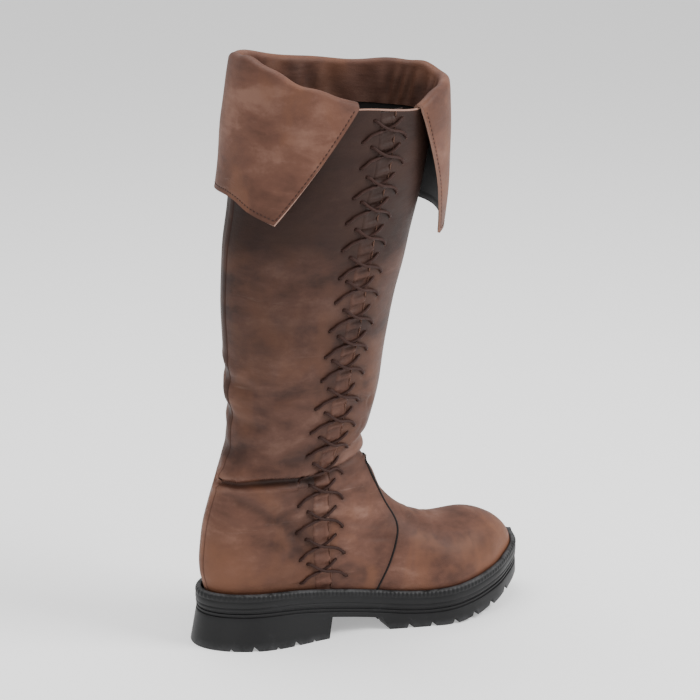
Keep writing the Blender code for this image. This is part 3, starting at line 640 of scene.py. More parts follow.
def apply_modifiers(piece):
    """Put the finished mesh in the piece's place."""
    data = finished_mesh(piece)
    old = piece.data
    piece.modifiers.clear()
    piece.data = data
    bpy.data.meshes.remove(old)
    data.name = piece.name


def add_piece(name, mesh, materials, replaced=(), wall=None, sharp=70.0):
    """Finished piece of a bmesh: placed, given its wall and materials, and tied to the frame."""
    bmesh.ops.translate(mesh, verts=mesh.verts[:], vec=(-HEEL_REST, 0.0, 0.0))
    piece = mesh_object(name, mesh)
    for material in materials:
        piece.data.materials.append(finish(material))
    if wall is not None:
        solid = piece.modifiers.new("wall", "SOLIDIFY")
        solid.thickness = wall
        solid.offset = -1.0
        solid.use_even_offset = False
        solid.use_rim = True
        solid.material_offset = 2
        solid.material_offset_rim = 1
        apply_modifiers(piece)
    piece.data.shade_smooth()
    piece.data.set_sharp_from_angle(angle=math.radians(sharp))
    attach(piece, "root")
    if replaced:
        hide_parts(*replaced)


def tube_piece(name, lines, radii, material, replaced=()):
    """Round cord along centre lines with a radius for each point of a line, as one mesh."""
    curve = bpy.data.curves.new(name, "CURVE")
    curve.dimensions = "3D"
    curve.bevel_depth = 1.0
    curve.bevel_resolution = 3
    curve.use_fill_caps = True
    for line in lines:
        spline = curve.splines.new("POLY")
        spline.points.add(len(line) - 1)
        for target, point, radius in zip(spline.points, line, np.broadcast_to(radii, len(line))):
            target.co = (*point, 1.0)
            target.radius = radius
    guide = new_object(name + "_guide", curve)
    data = finished_mesh(guide)
    bpy.data.objects.remove(guide)
    bpy.data.curves.remove(curve)
    mesh = bmesh.new()
    mesh.from_mesh(data)
    bpy.data.meshes.remove(data)
    merge(mesh)
    face_outwards(mesh)
    add_piece(name, mesh, [material], replaced, sharp=60.0)


def stitch_piece(name, runs, material, length, width):
    """Short thread stitches along runs of points and outward directions."""
    mesh = bmesh.new()
    for points, outs in runs:
        steps = run_lengths(points)
        count = int(steps[-1] // (1.42 * length))
        for i in range(count):
            middle = (i + 0.5) * steps[-1] / count
            place, ahead, out = (
                np.array([np.interp(middle + shift, steps, rows[:, k]) for k in range(3)])
                for rows, shift in ((points, 0.0), (points, 0.3 * length), (outs, 0.0)))
            along = Vector(ahead - place).normalized()
            up = Vector(out).normalized()
            across = up.cross(along).normalized()
            up = along.cross(across)
            turn = Matrix((along, across, up)).transposed().to_4x4()
            size = Matrix.Diagonal((0.5 * length, 0.5 * width, 0.42 * width, 1.0))
            bmesh.ops.create_uvsphere(
                mesh, u_segments=6, v_segments=5, radius=1.0, matrix=Matrix.Translation(place) @ turn @ size)
    add_piece(name, mesh, [material], sharp=180.0)


# Materials


class Value:
    """Output socket that takes part in Python arithmetic."""

    def __init__(self, finish, socket):
        self.finish = finish
        self.socket = socket

    def combine(self, operation, other, swapped=False):
        first, second = (other, self) if swapped else (self, other)
        return self.finish.node("ShaderNodeMath", {"operation": operation}, {0: first, 1: second})

    def __add__(self, other):
        return self.combine("ADD", other)

    __radd__ = __add__

    def __sub__(self, other):
        return self.combine("SUBTRACT", other)

    def __rsub__(self, other):
        return self.combine("SUBTRACT", other, True)

    def __mul__(self, other):
        return self.combine("MULTIPLY", other)

    __rmul__ = __mul__

    def clamped(self, low=0.0, high=1.0):
        return self.combine("MAXIMUM", low).combine("MINIMUM", high)

    def between(self, low, high):
        """Smooth ramp from 0 at low to 1 at high."""
        settings = {"interpolation_type": "SMOOTHSTEP"}
        return self.finish.node("ShaderNodeMapRange", settings, {0: self, 1: low, 2: high, 3: 0.0, 4: 1.0})


class Finish:
    """Material with one Principled shader and a method for each kind of node it uses."""

    def __init__(self, name, roughness, colour, **constants):
        self.material = bpy.data.materials.new(name)
        self.material.use_nodes = True
        self.material.diffuse_color = (*colour, 1.0)
        self.tree = self.material.node_tree
        self.shader = self.tree.nodes["Principled BSDF"]
        self.shader.inputs["Roughness"].default_value = roughness
        self.shader.inputs["Base Color"].default_value = (*colour, 1.0)
        for socket, value in constants.items():
            self.shader.inputs[socket.replace("_", " ")].default_value = value

    def node(self, kind, settings=None, inputs=None, output=0):
        """Node of a kind with its settings made first, then its sockets set or linked."""
        node = self.tree.nodes.new(kind)
        for name, value in (settings or {}).items():
            setattr(node, name, value)
        for key, value in (inputs or {}).items():
            if isinstance(value, Value):
                self.tree.links.new(value.socket, node.inputs[key])
            else:
                node.inputs[key].default_value = value
        return Value(self, node.outputs[output])

    def place(self, scale=(1.0, 1.0, 1.0), turn=(0.0, 0.0, 0.0)):
        """Object coordinates, stretched and turned."""
        source = self.node("ShaderNodeTexCoord", output=3)
        return self.node("ShaderNodeMapping", None, {0: source, 2: turn, 3: scale})

    def noise(self, scale, detail, rough, place=None, warp=0.0):
        inputs = {"Scale": scale, "Detail": detail, "Roughness": rough, "Distortion": warp}
        inputs["Vector"] = place or self.place()
        return self.node("ShaderNodeTexNoise", None, inputs)

    def cells(self, scale):
        return self.node("ShaderNodeTexVoronoi", None, {"Vector": self.place(), "Scale": scale})

    def attribute(self, name):
        return self.node("ShaderNodeAttribute", {"attribute_name": name}, output=2)

    def mix(self, share, first, second):
        """Mix of two colours."""
        first = first if isinstance(first, Value) else (*first, 1.0)
        second = second if isinstance(second, Value) else (*second, 1.0)
        return self.node("ShaderNodeMix", {"data_type": "RGBA"}, {0: share, 6: first, 7: second}, output=2)

    def bump(self, height, distance, strength, before=None):
        inputs = {"Height": height, "Distance": distance, "Strength": strength}
        if before is not None:
            inputs["Normal"] = before
        return self.node("ShaderNodeBump", None, inputs)

    def drive(self, socket, value):
        self.tree.links.new(value.socket, self.shader.inputs[socket])


def leather_finish(name, dark, middle, light, warm, scratch):
    """Distressed waxed leather: cloudy patches, warm rubbed places, pores and fine wrinkles; creases darkened
    with painted shade and dirt, painted shade along the free edges and, from the shade mark, up the shaft,
    under the cuff and beside the lacing.
    """
    f = Finish(name, 0.5, middle, Specular_IOR_Level=0.19)
    stretched = f.place(scale=(1.0, 1.0, 1.9), turn=(0.12, -0.2, 0.0))
    cloud = f.noise(17.0, 4.0, 0.58, stretched, 0.35)
    patch = f.noise(41.0, 4.0, 0.60, stretched, 0.5)
    blotch = f.noise(105.0, 5.0, 0.62)
    speck = f.noise(420.0, 3.0, 0.6)
    hue = f.noise(23.0, 3.0, 0.55, f.place(scale=(1.2, 1.0, 0.9), turn=(0.6, 0.2, 0.9)), 0.4)
    crease = f.attribute("crease")
    rubbed = f.attribute("warm")
    shade_and_tone = f.attribute("shade_and_tone")
    deep = scaled(dark, 0.5)
    shade = cloud * 0.68 + patch * 0.21 + blotch * 0.11 + crease * 0.022
    gloom = (1.0 - shade.between(0.37, 0.54)) * (shade_and_tone * 0.35 + 0.62)
    colour = f.mix((1.0 - gloom).clamped(), dark, middle)
    colour = f.mix((shade + speck * 0.03).between(0.52, 0.68), colour, light)
    colour = f.mix(hue.between(0.46, 0.66) * 0.50, colour, warm)
    colour = f.mix((rubbed * (0.55 + patch * 0.6)).clamped(0.0, 0.9), colour, warm)
    streak = f.noise(60.0, 6.0, 0.7, f.place(scale=(0.25, 0.4, 3.2), turn=(0.3, 0.5, 0.2)), 0.2)
    colour = f.mix(streak.between(0.62, 0.74) * 0.28, colour, scratch)
    # Painted shade, with some dirt, darkening the crease hollows.
    colour = f.mix((0.0 - crease + patch * 1.6).between(1.2, 6.0) * 0.85, colour, deep)
    # Painted shade from the shade mark, partly the leather's own darker colour.
    colour = f.mix((shade_and_tone * 0.74).clamped(0.0, 0.90), colour, deep)
    # Painted shade along the free edges.
    f.drive("Base Color", f.mix(f.attribute("edge") * 0.35, colour, dark))
    f.drive("Roughness", (0.47 + blotch * 0.18 + crease * 0.02).clamped(0.3, 0.8))
    pores = f.cells(1150.0)
    fine = f.noise(260.0, 5.0, 0.62, f.place(scale=(0.8, 0.8, 1.9), turn=(0.2, 0.4, 0.1)))
    wrinkle = f.noise(70.0, 4.0, 0.55, f.place(scale=(0.6, 0.6, 2.1), turn=(0.0, 0.35, 0.3)), 0.6)
    swell = f.bump(wrinkle, 0.0011, 0.35)
    soft = f.bump(fine, 0.00045, 0.30, swell)
    f.drive("Normal", f.bump(pores, 0.00016, 0.35, soft))
    return f.material


def edge_finish(name, colour, dark):
    """Cut leather edge: raw and lighter, or dark where the panel's edge was painted."""
    f = Finish(name, 0.72, colour)
    fibre = f.noise(700.0, 4.0, 0.6)
    raw = f.mix(fibre, scaled(colour, 0.72), colour)
    f.drive("Base Color", f.mix(f.attribute("painted"), raw, dark))
    f.drive("Normal", f.bump(fibre, 0.0002, 0.5))
    return f.material


def lining_finish(name, colour):
    """Smooth black lining cloth with a fine weave and a faint sheen."""
    f = Finish(name, 0.62, colour, Specular_IOR_Level=0.24)
    weave = f.noise(900.0, 2.0, 0.5, f.place(scale=(1.0, 1.0, 2.2)))
    slow = f.noise(55.0, 3.0, 0.5)
    f.drive("Base Color", f.mix(slow, scaled(colour, 0.7), scaled(colour, 1.5)))
    f.drive("Roughness", 0.42 + slow * 0.20)
    f.drive("Normal", f.bump(weave, 0.00012, 0.4, f.bump(slow, 0.0012, 0.25)))
    return f.material


def rubber_finish(name, colour, light):
    """Moulded charcoal rubber: satin, finely pebbled, a little dusted along its ridges, with a painted
    highlight as a thin pale line along the top of the rim's lip.
    """
    f = Finish(name, 0.5, colour, Specular_IOR_Level=0.30)
    slow = f.noise(30.0, 4.0, 0.6)
    fine = f.noise(520.0, 4.0, 0.6)
    dust_and_highlight = f.noise(95.0, 5.0, 0.7, None, 0.4)
    base = f.mix(slow.between(0.35, 0.65), scaled(colour, 0.78), scaled(colour, 1.2))
    # Dusted ridges, and the painted highlight along the top of the rim's lip.
    dust_and_highlight_mask = f.attribute("wear_and_highlight") * dust_and_highlight.between(0.30, 0.62) + dust_and_highlight.between(0.60, 0.78) * 0.2
    f.drive("Base Color", f.mix(dust_and_highlight_mask.clamped(), base, light))
    f.drive("Roughness", (0.40 + slow * 0.12 + fine * 0.10).clamped())
    f.drive("Normal", f.bump(f.cells(1300.0), 0.00010, 0.35, f.bump(slow, 0.0008, 0.15)))
    return f.material


def cord_finish(name, colour, light):
    """Waxed round cord."""
    f = Finish(name, 0.55, colour, Specular_IOR_Level=0.14)
    strand = f.noise(1100.0, 3.0, 0.6, f.place(scale=(1.0, 1.0, 0.5), turn=(0.5, 0.6, 0.0)))
    slow = f.noise(80.0, 3.0, 0.5)
    f.drive("Base Color", f.mix(strand * slow, colour, light))
    f.drive("Roughness", 0.45 + strand * 0.25)
    f.drive("Normal", f.bump(strand, 0.00025, 0.6))
    return f.material


# Settings


def length_property(name, description, default):
    return FloatProperty(name=name, description=description, default=default, unit="LENGTH")


class BootSizes(bpy.types.PropertyGroup):
    leather: length_property("Leather", "Thickness of the upper's leather", 0.0013)
    lining: length_property("Lining", "Thickness of the lining cloth", 0.0004)
    panel_rise: length_property("Panel rise", "How far the shaft's panels stand over the vamp", 0.0016)
    cord: length_property("Cord", "Thickness of the pulled lace", 0.0023)
    back_strip: length_property("Back strip", "Width of the strip sewn up the back", 0.0085)
    overlap: length_property("Overlap", "How far the vamp runs under the shaft's panels", 0.006)
    eyelet_radius: length_property("Eyelet radius", "Radius of the punched lacing holes", 0.00155)
    tongue: length_property("Tongue", "Thickness of the tongue", 0.0014)
    stitch: length_property("Stitch", "Length of the cuff's stitches", 0.0026)
    stitch_inset: length_property("Stitch inset", "Distance of the stitches from the cuff's edge", 0.0038)
    tick_pitch: length_property("Welt ticks", "Distance between the ticks on the rim's lip", 0.0034)
    upper_columns: IntProperty(
        name="Upper columns", description="Mesh columns round the upper", default=206, min=60, max=260)
    upper_rows: IntProperty(
        name="Upper rows", description="Mesh rows from the toe to the collar", default=214, min=60, max=260)


def colour_property(name, description, default):
    return FloatVectorProperty(
        name=name, description=description, default=default, subtype="COLOR", min=0.0, max=1.0)


class BootColours(bpy.types.PropertyGroup):
    # The dark leather colour is also painted shade along the free edges, and at half strength painted shade
    # in creases, up the shaft and under the cuff.
    dark: colour_property("Dark leather", "Leather in its dark patches and creases", (0.033, 0.0145, 0.0105))
    middle: colour_property("Leather", "Main colour of the leather", (0.112, 0.050, 0.034))
    light: colour_property("Light leather", "Leather where it is rubbed pale", (0.195, 0.102, 0.074))
    warm: colour_property("Warm leather", "Orange brown of the heel and toe", (0.175, 0.074, 0.040))
    scratch: colour_property("Scratches", "Pale scuffs in the leather", (0.250, 0.160, 0.128))
    cut_edge: colour_property("Cut edge", "Raw edge of the leather", (0.300, 0.165, 0.120))
    painted_edge: colour_property("Painted edge", "Dark edge of the vamp seam", (0.006, 0.0045, 0.0042))
    thread: colour_property("Thread", "Cuff stitches", (0.040, 0.020, 0.016))
    cord: colour_property("Lace", "Waxed lace cord", (0.022, 0.0100, 0.0078))
    lining: colour_property("Lining", "Black lining cloth", (0.012, 0.011, 0.011))
    rubber: colour_property("Rubber", "Charcoal sole rubber", (0.0046, 0.0046, 0.0051))
    # Grey of the dusted rubber, also used for the painted highlight along the rim's lip.
    dust_and_highlight: colour_property("Dust", "Dusty ridges of the rubber", (0.085, 0.085, 0.088))
    floor: colour_property("Floor", "Pale studio floor", (0.92, 0.92, 0.92))


def sizes():
    return bpy.context.scene.boot_sizes


def colours():
    return bpy.context.scene.boot_colours


MADE = {}


def scaled(colour, factor):
    """A colour made lighter or darker."""
    return [factor * v for v in colour]


def finish(name):
    """The boot's material of that name, made once."""
    c = colours()
    recipes = {
        "leather": lambda: leather_finish("boot_leather", c.dark, c.middle, c.light, c.warm, c.scratch),
        "cuff": lambda: leather_finish(
            "cuff_leather", scaled(c.dark, 1.6), scaled(c.middle, 1.12), scaled(c.light, 1.05), c.warm,
            c.scratch),
        "tongue": lambda: leather_finish("tongue_leather", c.dark, c.middle, c.light, c.middle, c.light),
        "edge": lambda: edge_finish("cut_edge", c.cut_edge, c.painted_edge),
        "lining": lambda: lining_finish("black_lining", c.lining),
        "rubber": lambda: rubber_finish("sole_rubber", c.rubber, c.dust_and_highlight),
        "cord": lambda: cord_finish("lace_cord", c.cord, scaled(c.cord, 3.0)),
        "thread": lambda: cord_finish("seam_thread", c.thread, scaled(c.thread, 2.0)),
        "piping": lambda: cord_finish("seam_edge", c.painted_edge, scaled(c.painted_edge, 2.5)),
    }
    if name not in MADE:
        MADE[name] = recipes[name]()
    return MADE[name]


# Upper


def row_sections(v):
    """Sections for even rows from the toe to the collar, where v runs from 0 to 1."""
    whole = np.arange(LAST_SECTION + 1.0)
    steps = np.zeros(int(LAST_SECTION))
    for angle in (0.0, 0.5 * math.pi, math.pi, 1.5 * math.pi):
        points = upper_points(whole, np.full_like(whole, angle))
        steps += np.linalg.norm(np.diff(points, axis=0), axis=1)
    reached = np.concatenate(([0.0], np.cumsum(steps)))
    return np.interp(v, reached / reached[-1], whole)


def refine_ankle(mesh):
    """Finer faces in a flat grid where the deep fold behind the lacing will lie."""
    centres = np.array([face.calc_center_median() for face in mesh.faces])
    points = upper_points(row_sections(centres[:, 1]), 2.0 * math.pi * centres[:, 0])
    low, high = ANKLE_BAND
    chosen = (points[:, 2] > low) & (points[:, 2] < high) & (points[:, 1] < 0.012)
    chosen &= points[:, 0] < throat_x(points[:, 2]) - 0.5 * WIDE_SPREAD - ANKLE_MARGIN
    mesh.faces.ensure_lookup_table()
    edges = {edge for number in np.nonzero(chosen)[0] for edge in mesh.faces[number].edges}
    bmesh.ops.subdivide_edges(mesh, edges=list(edges), cuts=2, use_grid_fill=True)


def upper_sheet(columns, rows, out, inside=False):
    """Creased outside, or a smoother sheet inside it, from the toe's tip to the collar, open underneath."""
    mesh = unit_grid(columns, rows)
    if not inside:
        refine_ankle(mesh)
    uv = coordinates(mesh)
    angle = 2.0 * math.pi * uv[:, 0]
    nominal = row_sections(uv[:, 1])
    ring = 2.0 * math.pi * np.arange(columns + 1) / columns
    tops = section_at_height(ring, fold_height(ring % (2.0 * math.pi)) - FOLD_RADIUS - GAP)
    top = np.interp(angle, ring, tops)
    shoulder = LAST_SECTION - 3.0
    raised = shoulder + (nominal - shoulder) / (LAST_SECTION - shoulder) * (top - shoulder)
    s = np.where(nominal > shoulder, raised, nominal)
    base = upper_points(s, angle)
    rise = relief(base)
    stand = 1.2 * np.minimum(rise, 0.0) - 0.0008 if inside else rise
    points = base + upper_normals(s, angle) * (stand + out)[:, None]
    move_to(mesh, points)
    mark(mesh, "crease", rise / MILLIMETRE)
    # Painted shade, partly the leather's own darker colour, for the material.
    mark(mesh, "shade_and_tone", leather_shade_and_tone(points))
    x, _, z = points.T
    heel = 1.0 - smoothstep(0.006, 0.060, x)
    low = 1.0 - smoothstep(0.060, 0.125, z)
    toe = smoothstep(0.205, 0.270, x) * (1.0 - smoothstep(0.045, 0.080, z))
    mark(mesh, "warm", np.clip(0.85 * heel * low + 0.8 * toe, 0.0, 1.0))
    merge(mesh)
    face_outwards(mesh)
    sheared_cut(mesh, lambda p: footbed(p[:, 0]) + GAP, 2, clear_low=True)
    return mesh


def leather_shade_and_tone(points):
    """How dark the leather is painted, partly its own darker colour and partly painted shade: darker up the
    shaft, darkest in the painted shadow under the cuff, and painted shade beside the lacing between the
    panels.
    """
    x, y, z = points.T
    high = smoothstep(0.110, 0.170, z)
    shade_and_tone = 0.46 * high + 0.30 * smoothstep(0.19, 0.26, z) + 0.62 * smoothstep(0.295, 0.345, z)
    # Painted shade beside the lacing, between the panels.
    beside = np.exp(-((x - throat_x(z)) / 0.020) ** 2) * (y < 0.0)
    quarter = 0.16 + 0.32 * smoothstep(0.030, 0.060, x) - 0.48 * smoothstep(0.085, 0.115, x)
    return shade_and_tone + 0.25 * beside * smoothstep(0.03, 0.12, z) + quarter * (1.0 - high)


def open_throat(mesh, half, bottom_drop=0.0015):
    """Cut the slit for the lacing, with its sides that far from the middle, down to the rim."""
    def throat_faces(margin):
        chosen = []
        for face in mesh.faces:
            middle = face.calc_center_median()
            near = abs(middle.x - float(throat_x(middle.z))) < margin
            if near and middle.y < -0.10 * CALF_WIDTH and middle.z > rim_top(middle.x) - 0.008:
                chosen.append(face)
        return chosen

    for side in (-1.0, 1.0):
        sheared_cut(mesh, lambda p: throat_x(p[:, 2]) + side * half, 0, faces=throat_faces(half + 0.006))
    sheared_cut(mesh, lambda p: rim_top(p[:, 0]) - bottom_drop, 2, faces=throat_faces(half + 0.006))
    gone = []
    for face in throat_faces(half):
        middle = face.calc_center_median()
        if middle.z > rim_top(middle.x) - bottom_drop:
            gone.append(face)
    bmesh.ops.delete(mesh, geom=gone, context="FACES")


def vertex_tree(verts):
    """Tree that finds the nearest of some vertices."""
    tree = kdtree.KDTree(len(verts))
    for i, vertex in enumerate(verts):
        tree.insert(vertex.co, i)
    tree.balance()
    return tree


def punch_holes(mesh, centres, radius):
    """Round holes in a sheet: the nearest vertex becomes a ring of eight."""
    for centre in centres:
        mesh.verts.ensure_lookup_table()
        _, index, _ = vertex_tree(mesh.verts).find(Vector(centre))
        vertex = mesh.verts[index]
        if vertex.is_boundary or len(vertex.link_faces) != 4:
            raise RuntimeError("An eyelet falls on an edge of the leather")
        corners = list({corner for face in vertex.link_faces for corner in face.verts if corner != vertex})
        bmesh.ops.dissolve_verts(mesh, verts=[vertex])
        ring_face = next(face for face in corners[0].link_faces if set(corners) <= set(face.verts))
        bmesh.ops.inset_individual(mesh, faces=[ring_face], thickness=0.0002)
        for corner in ring_face.verts:
            corner.co = Vector(centre) + (corner.co - Vector(centre)).normalized() * radius
        bmesh.ops.delete(mesh, geom=[ring_face], context="FACES")


def edge_marks(mesh):
    """Painted shade darkening the leather by its free edges, and paint on the edge over the vamp."""
    border = np.array([vertex.is_boundary for vertex in mesh.verts])
    tree = vertex_tree([vertex for vertex in mesh.verts if vertex.is_boundary])
    distance = np.array([tree.find(vertex.co)[2] for vertex in mesh.verts])
    x, _, z = coordinates(mesh).T
    mark(mesh, "edge", np.exp(-(distance / 0.0022) ** 2))
    mark(mesh, "painted", border & (np.abs(x - seam_x(z)) < 0.002))


class BOOT_OT_shaft(bpy.types.Operator):
    """Shaft, quarters and counter: one creased leather panel with its throat and punched eyelets"""

    bl_idname = "boot.shaft"
    bl_label = "Shaft"

    def execute(self, context):
        z = sizes()
        mesh = upper_sheet(z.upper_columns, z.upper_rows, 0.0)
        sheared_cut(mesh, lambda p: seam_x(p[:, 2]), 0, clear_high=True)
        mesh.normal_update()
        for vertex in mesh.verts:
            depth = float(seam_x(vertex.co.z)) - vertex.co.x
            taper = 1.0 - smoothstep(0.0, SEAM_TAPER, depth)
            clear = smoothstep(0.3 * LIP_HEIGHT, 1.4 * LIP_HEIGHT, vertex.co.z - footbed(vertex.co.x))
            vertex.co += vertex.normal * float(z.panel_rise * clear * taper)
        open_throat(mesh, 0.5 * THROAT_GAP)
        punch_holes(mesh, skin_side(EYELETS[:, 0], EYELETS[:, 1], 0.0), z.eyelet_radius)
        edge_marks(mesh)
        add_piece("shaft_leather", mesh, LEATHER_SIDES, ("upper",), wall=z.leather)
        return {"FINISHED"}


class BOOT_OT_vamp(bpy.types.Operator):
    """Vamp: the toe's leather, running under the shaft's panels"""

    bl_idname = "boot.vamp"
    bl_label = "Vamp"

    def execute(self, context):
        z = sizes()
        mesh = upper_sheet(z.upper_columns, z.upper_rows, -VAMP_INSET)
        sheared_cut(mesh, lambda p: seam_x(p[:, 2]) - z.overlap, 0, clear_low=True)
        edge_marks(mesh)
        add_piece("vamp_leather", mesh, LEATHER_SIDES, wall=z.leather)
        return {"FINISHED"}


class BOOT_OT_lining(bpy.types.Operator):
    """Black lining inside the shaft and foot"""

    bl_idname = "boot.lining"
    bl_label = "Lining"

    def execute(self, context):
        z = sizes()
        mesh = upper_sheet(*LINING_GRID, -z.leather - 0.0001, True)
        open_throat(mesh, LINING_THROAT, -0.001)
        add_piece("lining", mesh, ["lining"], wall=z.lining)
        return {"FINISHED"}


class BOOT_OT_tongue(bpy.types.Operator):
    """Tongue: the long gusset behind the lacing, pushed out in the gap and pressed back under the panels"""

    bl_idname = "boot.tongue"
    bl_label = "Tongue"

    def execute(self, context):
        mesh = unit_grid(*TONGUE_GRID)
        uv = coordinates(mesh)
        bottom = float(footbed(throat_x(HEEL_BED))) + TONGUE_DROP
        top = COLLAR_HEIGHT + FACET_GAP
        height = bottom + (top - bottom) * uv[:, 1]
        across = TONGUE_WIDTH * (uv[:, 0] - 0.5)
        pitch = NARROW_EYELETS[0][1] - NARROW_EYELETS[2][1]
        phase = 2.0 * math.pi * (NARROW_EYELETS[0][1] - height) / pitch
        gap_share = 1.0 - smoothstep(0.0074, 0.0102, np.abs(across))
        pucker = 0.0007 * np.sin(2.0 * phase + 0.8) + 0.0003 * np.sin(3.0 * phase + 260.0 * across)
        folds = 0.0005 * np.exp(-((np.abs(across) - 0.0048) / 0.0011) ** 2)
        out = -(WALL + SEAT_DEPTH) + gap_share * (GUSSET_RISE + pucker + folds)
        points = skin_side(across, height, out)
        move_to(mesh, points)
        mark(mesh, "crease", 1400.0 * (pucker + folds) * gap_share)
        # Painted shade, partly the leather's darker colour, and painted shade along the edges that run under
        # the panels.
        mark(mesh, "shade_and_tone", 0.9 * leather_shade_and_tone(points) - 0.18)
        mark(mesh, "edge", 0.8 * smoothstep(0.0064, 0.0080, np.abs(across)))
        bmesh.ops.recalc_face_normals(mesh, faces=mesh.faces[:])
        mesh.faces.ensure_lookup_table()
        if mesh.faces[0].normal.y > 0.0:
            bmesh.ops.reverse_faces(mesh, faces=mesh.faces[:])
        add_piece("tongue_leather", mesh, ["tongue"], ("tongue",), wall=sizes().tongue)
        return {"FINISHED"}


def smooth_line(points, spacing):
    """Evenly spaced points on the smooth curve through some points."""
    dense = catmull(points, np.linspace(0.0, len(points) - 1.0, CURVE_STEPS * len(points)))
    reached = run_lengths(dense)
    wanted = np.linspace(0.0, reached[-1], int(reached[-1] / spacing) + 1)
    return np.column_stack([np.interp(wanted, reached, column) for column in dense.T])


class BOOT_OT_lace(bpy.types.Operator):
    """Lace: two runs that cross at each pair of eyelets, pass through the holes and end inside at the top"""

    bl_idname = "boot.lace"
    bl_label = "Lace"

    def execute(self, context):
        radius = 0.5 * sizes().cord
        seat = radius + 0.0001
        inside = -(WALL + radius + 0.0004)
        lines = []
        for run in (0, 1):
            places = []
            for number in range(CROSSINGS):
                hidden = (number + run) % 2
                start = NARROW_EYELETS[2 * number + hidden]
                end = WIDE_EYELETS[2 * number + 1 - hidden]
                places.append((*start, inside))
                places.append((*start, -LACE_DIP))
                for across, down, *lift in LACE_ROUTE:
                    place = start + (end - start) * (across, down)
                    places.append((*place, seat + MILLIMETRE * lift[hidden]))
                places.append((*end, -LACE_DIP))
                places.append((*end, inside))
            if run == 0:
                last = places[-1]
                places.append((0.5 * last[0], last[1] - 0.0035, inside - 0.0020))
                places.append((0.0, last[1] - 0.0042, inside - 0.0040))
            lines.append(smooth_line(skin_side(*np.array(places).T), LACE_STEP))
        names = ["lace_crossing_%02d" % (number + 1) for number in range(CROSSINGS)]
        tube_piece("lace", lines, radius, "cord", names)
        return {"FINISHED"}


# Seams


def seam_line(out):
    """Points along the front edge of the shaft's panels: outer side up, over the instep and down inside."""
    s = np.linspace(2.0, ANKLE_SECTION, 900)
    ridge = upper_points(s, np.zeros_like(s))
    passed = np.nonzero(ridge[:, 0] < seam_x(ridge[:, 2]) + 0.0004)[0][0]
    heights = np.linspace(float(rim_top(0.14)) - 0.003, ridge[passed, 2] - 0.0006, 70)
    lines = []
    for side in (OUTER, INNER):
        places, angle = side_places(seam_x(heights) + 0.0004, heights, side)
        lines.append(skin(places, angle, out)[0])
    top = skin(s[passed:passed + 1], np.zeros(1), out)[0]
    return np.vstack((lines[0], top, lines[1][::-1]))


def collar_line(out):
    """Points along the shaft's top edge between the cuff's ends, across the lacing."""
    angle = np.radians(np.linspace(CUFF[0][0] + 2.0, CUFF[-1][0] - 362.0, 50))
    s = section_at_height(angle, fold_height(angle) - FOLD_RADIUS)
    return skin(s, angle, out)[0]


class BOOT_OT_seams(bpy.types.Operator):
    """Raised dark edge over the vamp, the strip sewn up the back and the cord along the open collar"""

    bl_idname = "boot.seams"
    bl_label = "Seams"

    def execute(self, context):
        path = smooth_line(seam_line(0.0010)[::2], 0.0015)
        radii = 0.00105 + 0.0005 * smoothstep(0.085, 0.125, path[:, 2])
        tube_piece("vamp_edge", [path], radii, "piping")
        collar = smooth_line(collar_line(-0.0007), 0.0012)
        tube_piece("collar_cord", [collar], 0.0008, "edge")
        mesh = unit_grid(*BACK_GRID)
        uv = coordinates(mesh)
        s_low = float(back_section(float(rim_top(0.0)) - 0.003))
        s = s_low + (LAST_SECTION - 0.9 - s_low) * uv[:, 1]
        across = uv[:, 0] - 0.5
        half = 0.5 * sizes().back_strip
        turn = 2.0 * across * half / catmull(SECTIONS, s)[:, 4]
        rounded = 0.0010 * np.cos(math.pi * across) ** 0.35 - 0.0002
        points, rise = skin(s, math.pi + turn, rounded)
        move_to(mesh, points)
        mark(mesh, "crease", rise / MILLIMETRE + 0.6)
        # Painted shade, partly the leather's darker colour, rising up the shaft.
        mark(mesh, "shade_and_tone", smoothstep(0.115, 0.200, points[:, 2]))
        mark(mesh, "warm", 0.5 * (1.0 - smoothstep(0.06, 0.12, points[:, 2])))
        # Painted shade along the strip's edges.
        mark(mesh, "edge", 2.2 * smoothstep(0.36, 0.49, np.abs(across)))
        face_backwards(mesh)
        add_piece("back_strip", mesh, ["leather"], wall=BACK_WALL)
        return {"FINISHED"}


def back_section(height):
    """Section whose back is at a height."""
    low = np.array([HEEL_CURVE_START])
    high = np.array([ANKLE_SECTION])
    return solve(lambda s: catmull(SECTIONS, s)[:, 3] - height, low, high)[0]


def face_backwards(mesh):
    """Turn the faces of a strip at the back outwards."""
    mesh.normal_update()
    if sum(face.normal.x for face in mesh.faces) > 0.0:
        bmesh.ops.reverse_faces(mesh, faces=mesh.faces[:])


# Cuff


CUFF_LAST = len(CUFF) - 1.0
FACING_SHARE = 0.19
ROLL_SHARE = 0.29
CUFF_WAVES = ((0.075, 0.3, 0.2, 0.9), (0.052, 1.0, 1.4, 2.2), (0.110, -0.4, 2.6, 0.2), (0.040, 0.1, 2.0, 3.8))


def shaft_frames(angle, z):
    """Plain points of the shaft at heights, and the level directions out of it."""
    s = section_at_height(angle, z)
    out = upper_normals(s, angle)
    out[:, 2] = 0.0
    return upper_points(s, angle), unit(out)


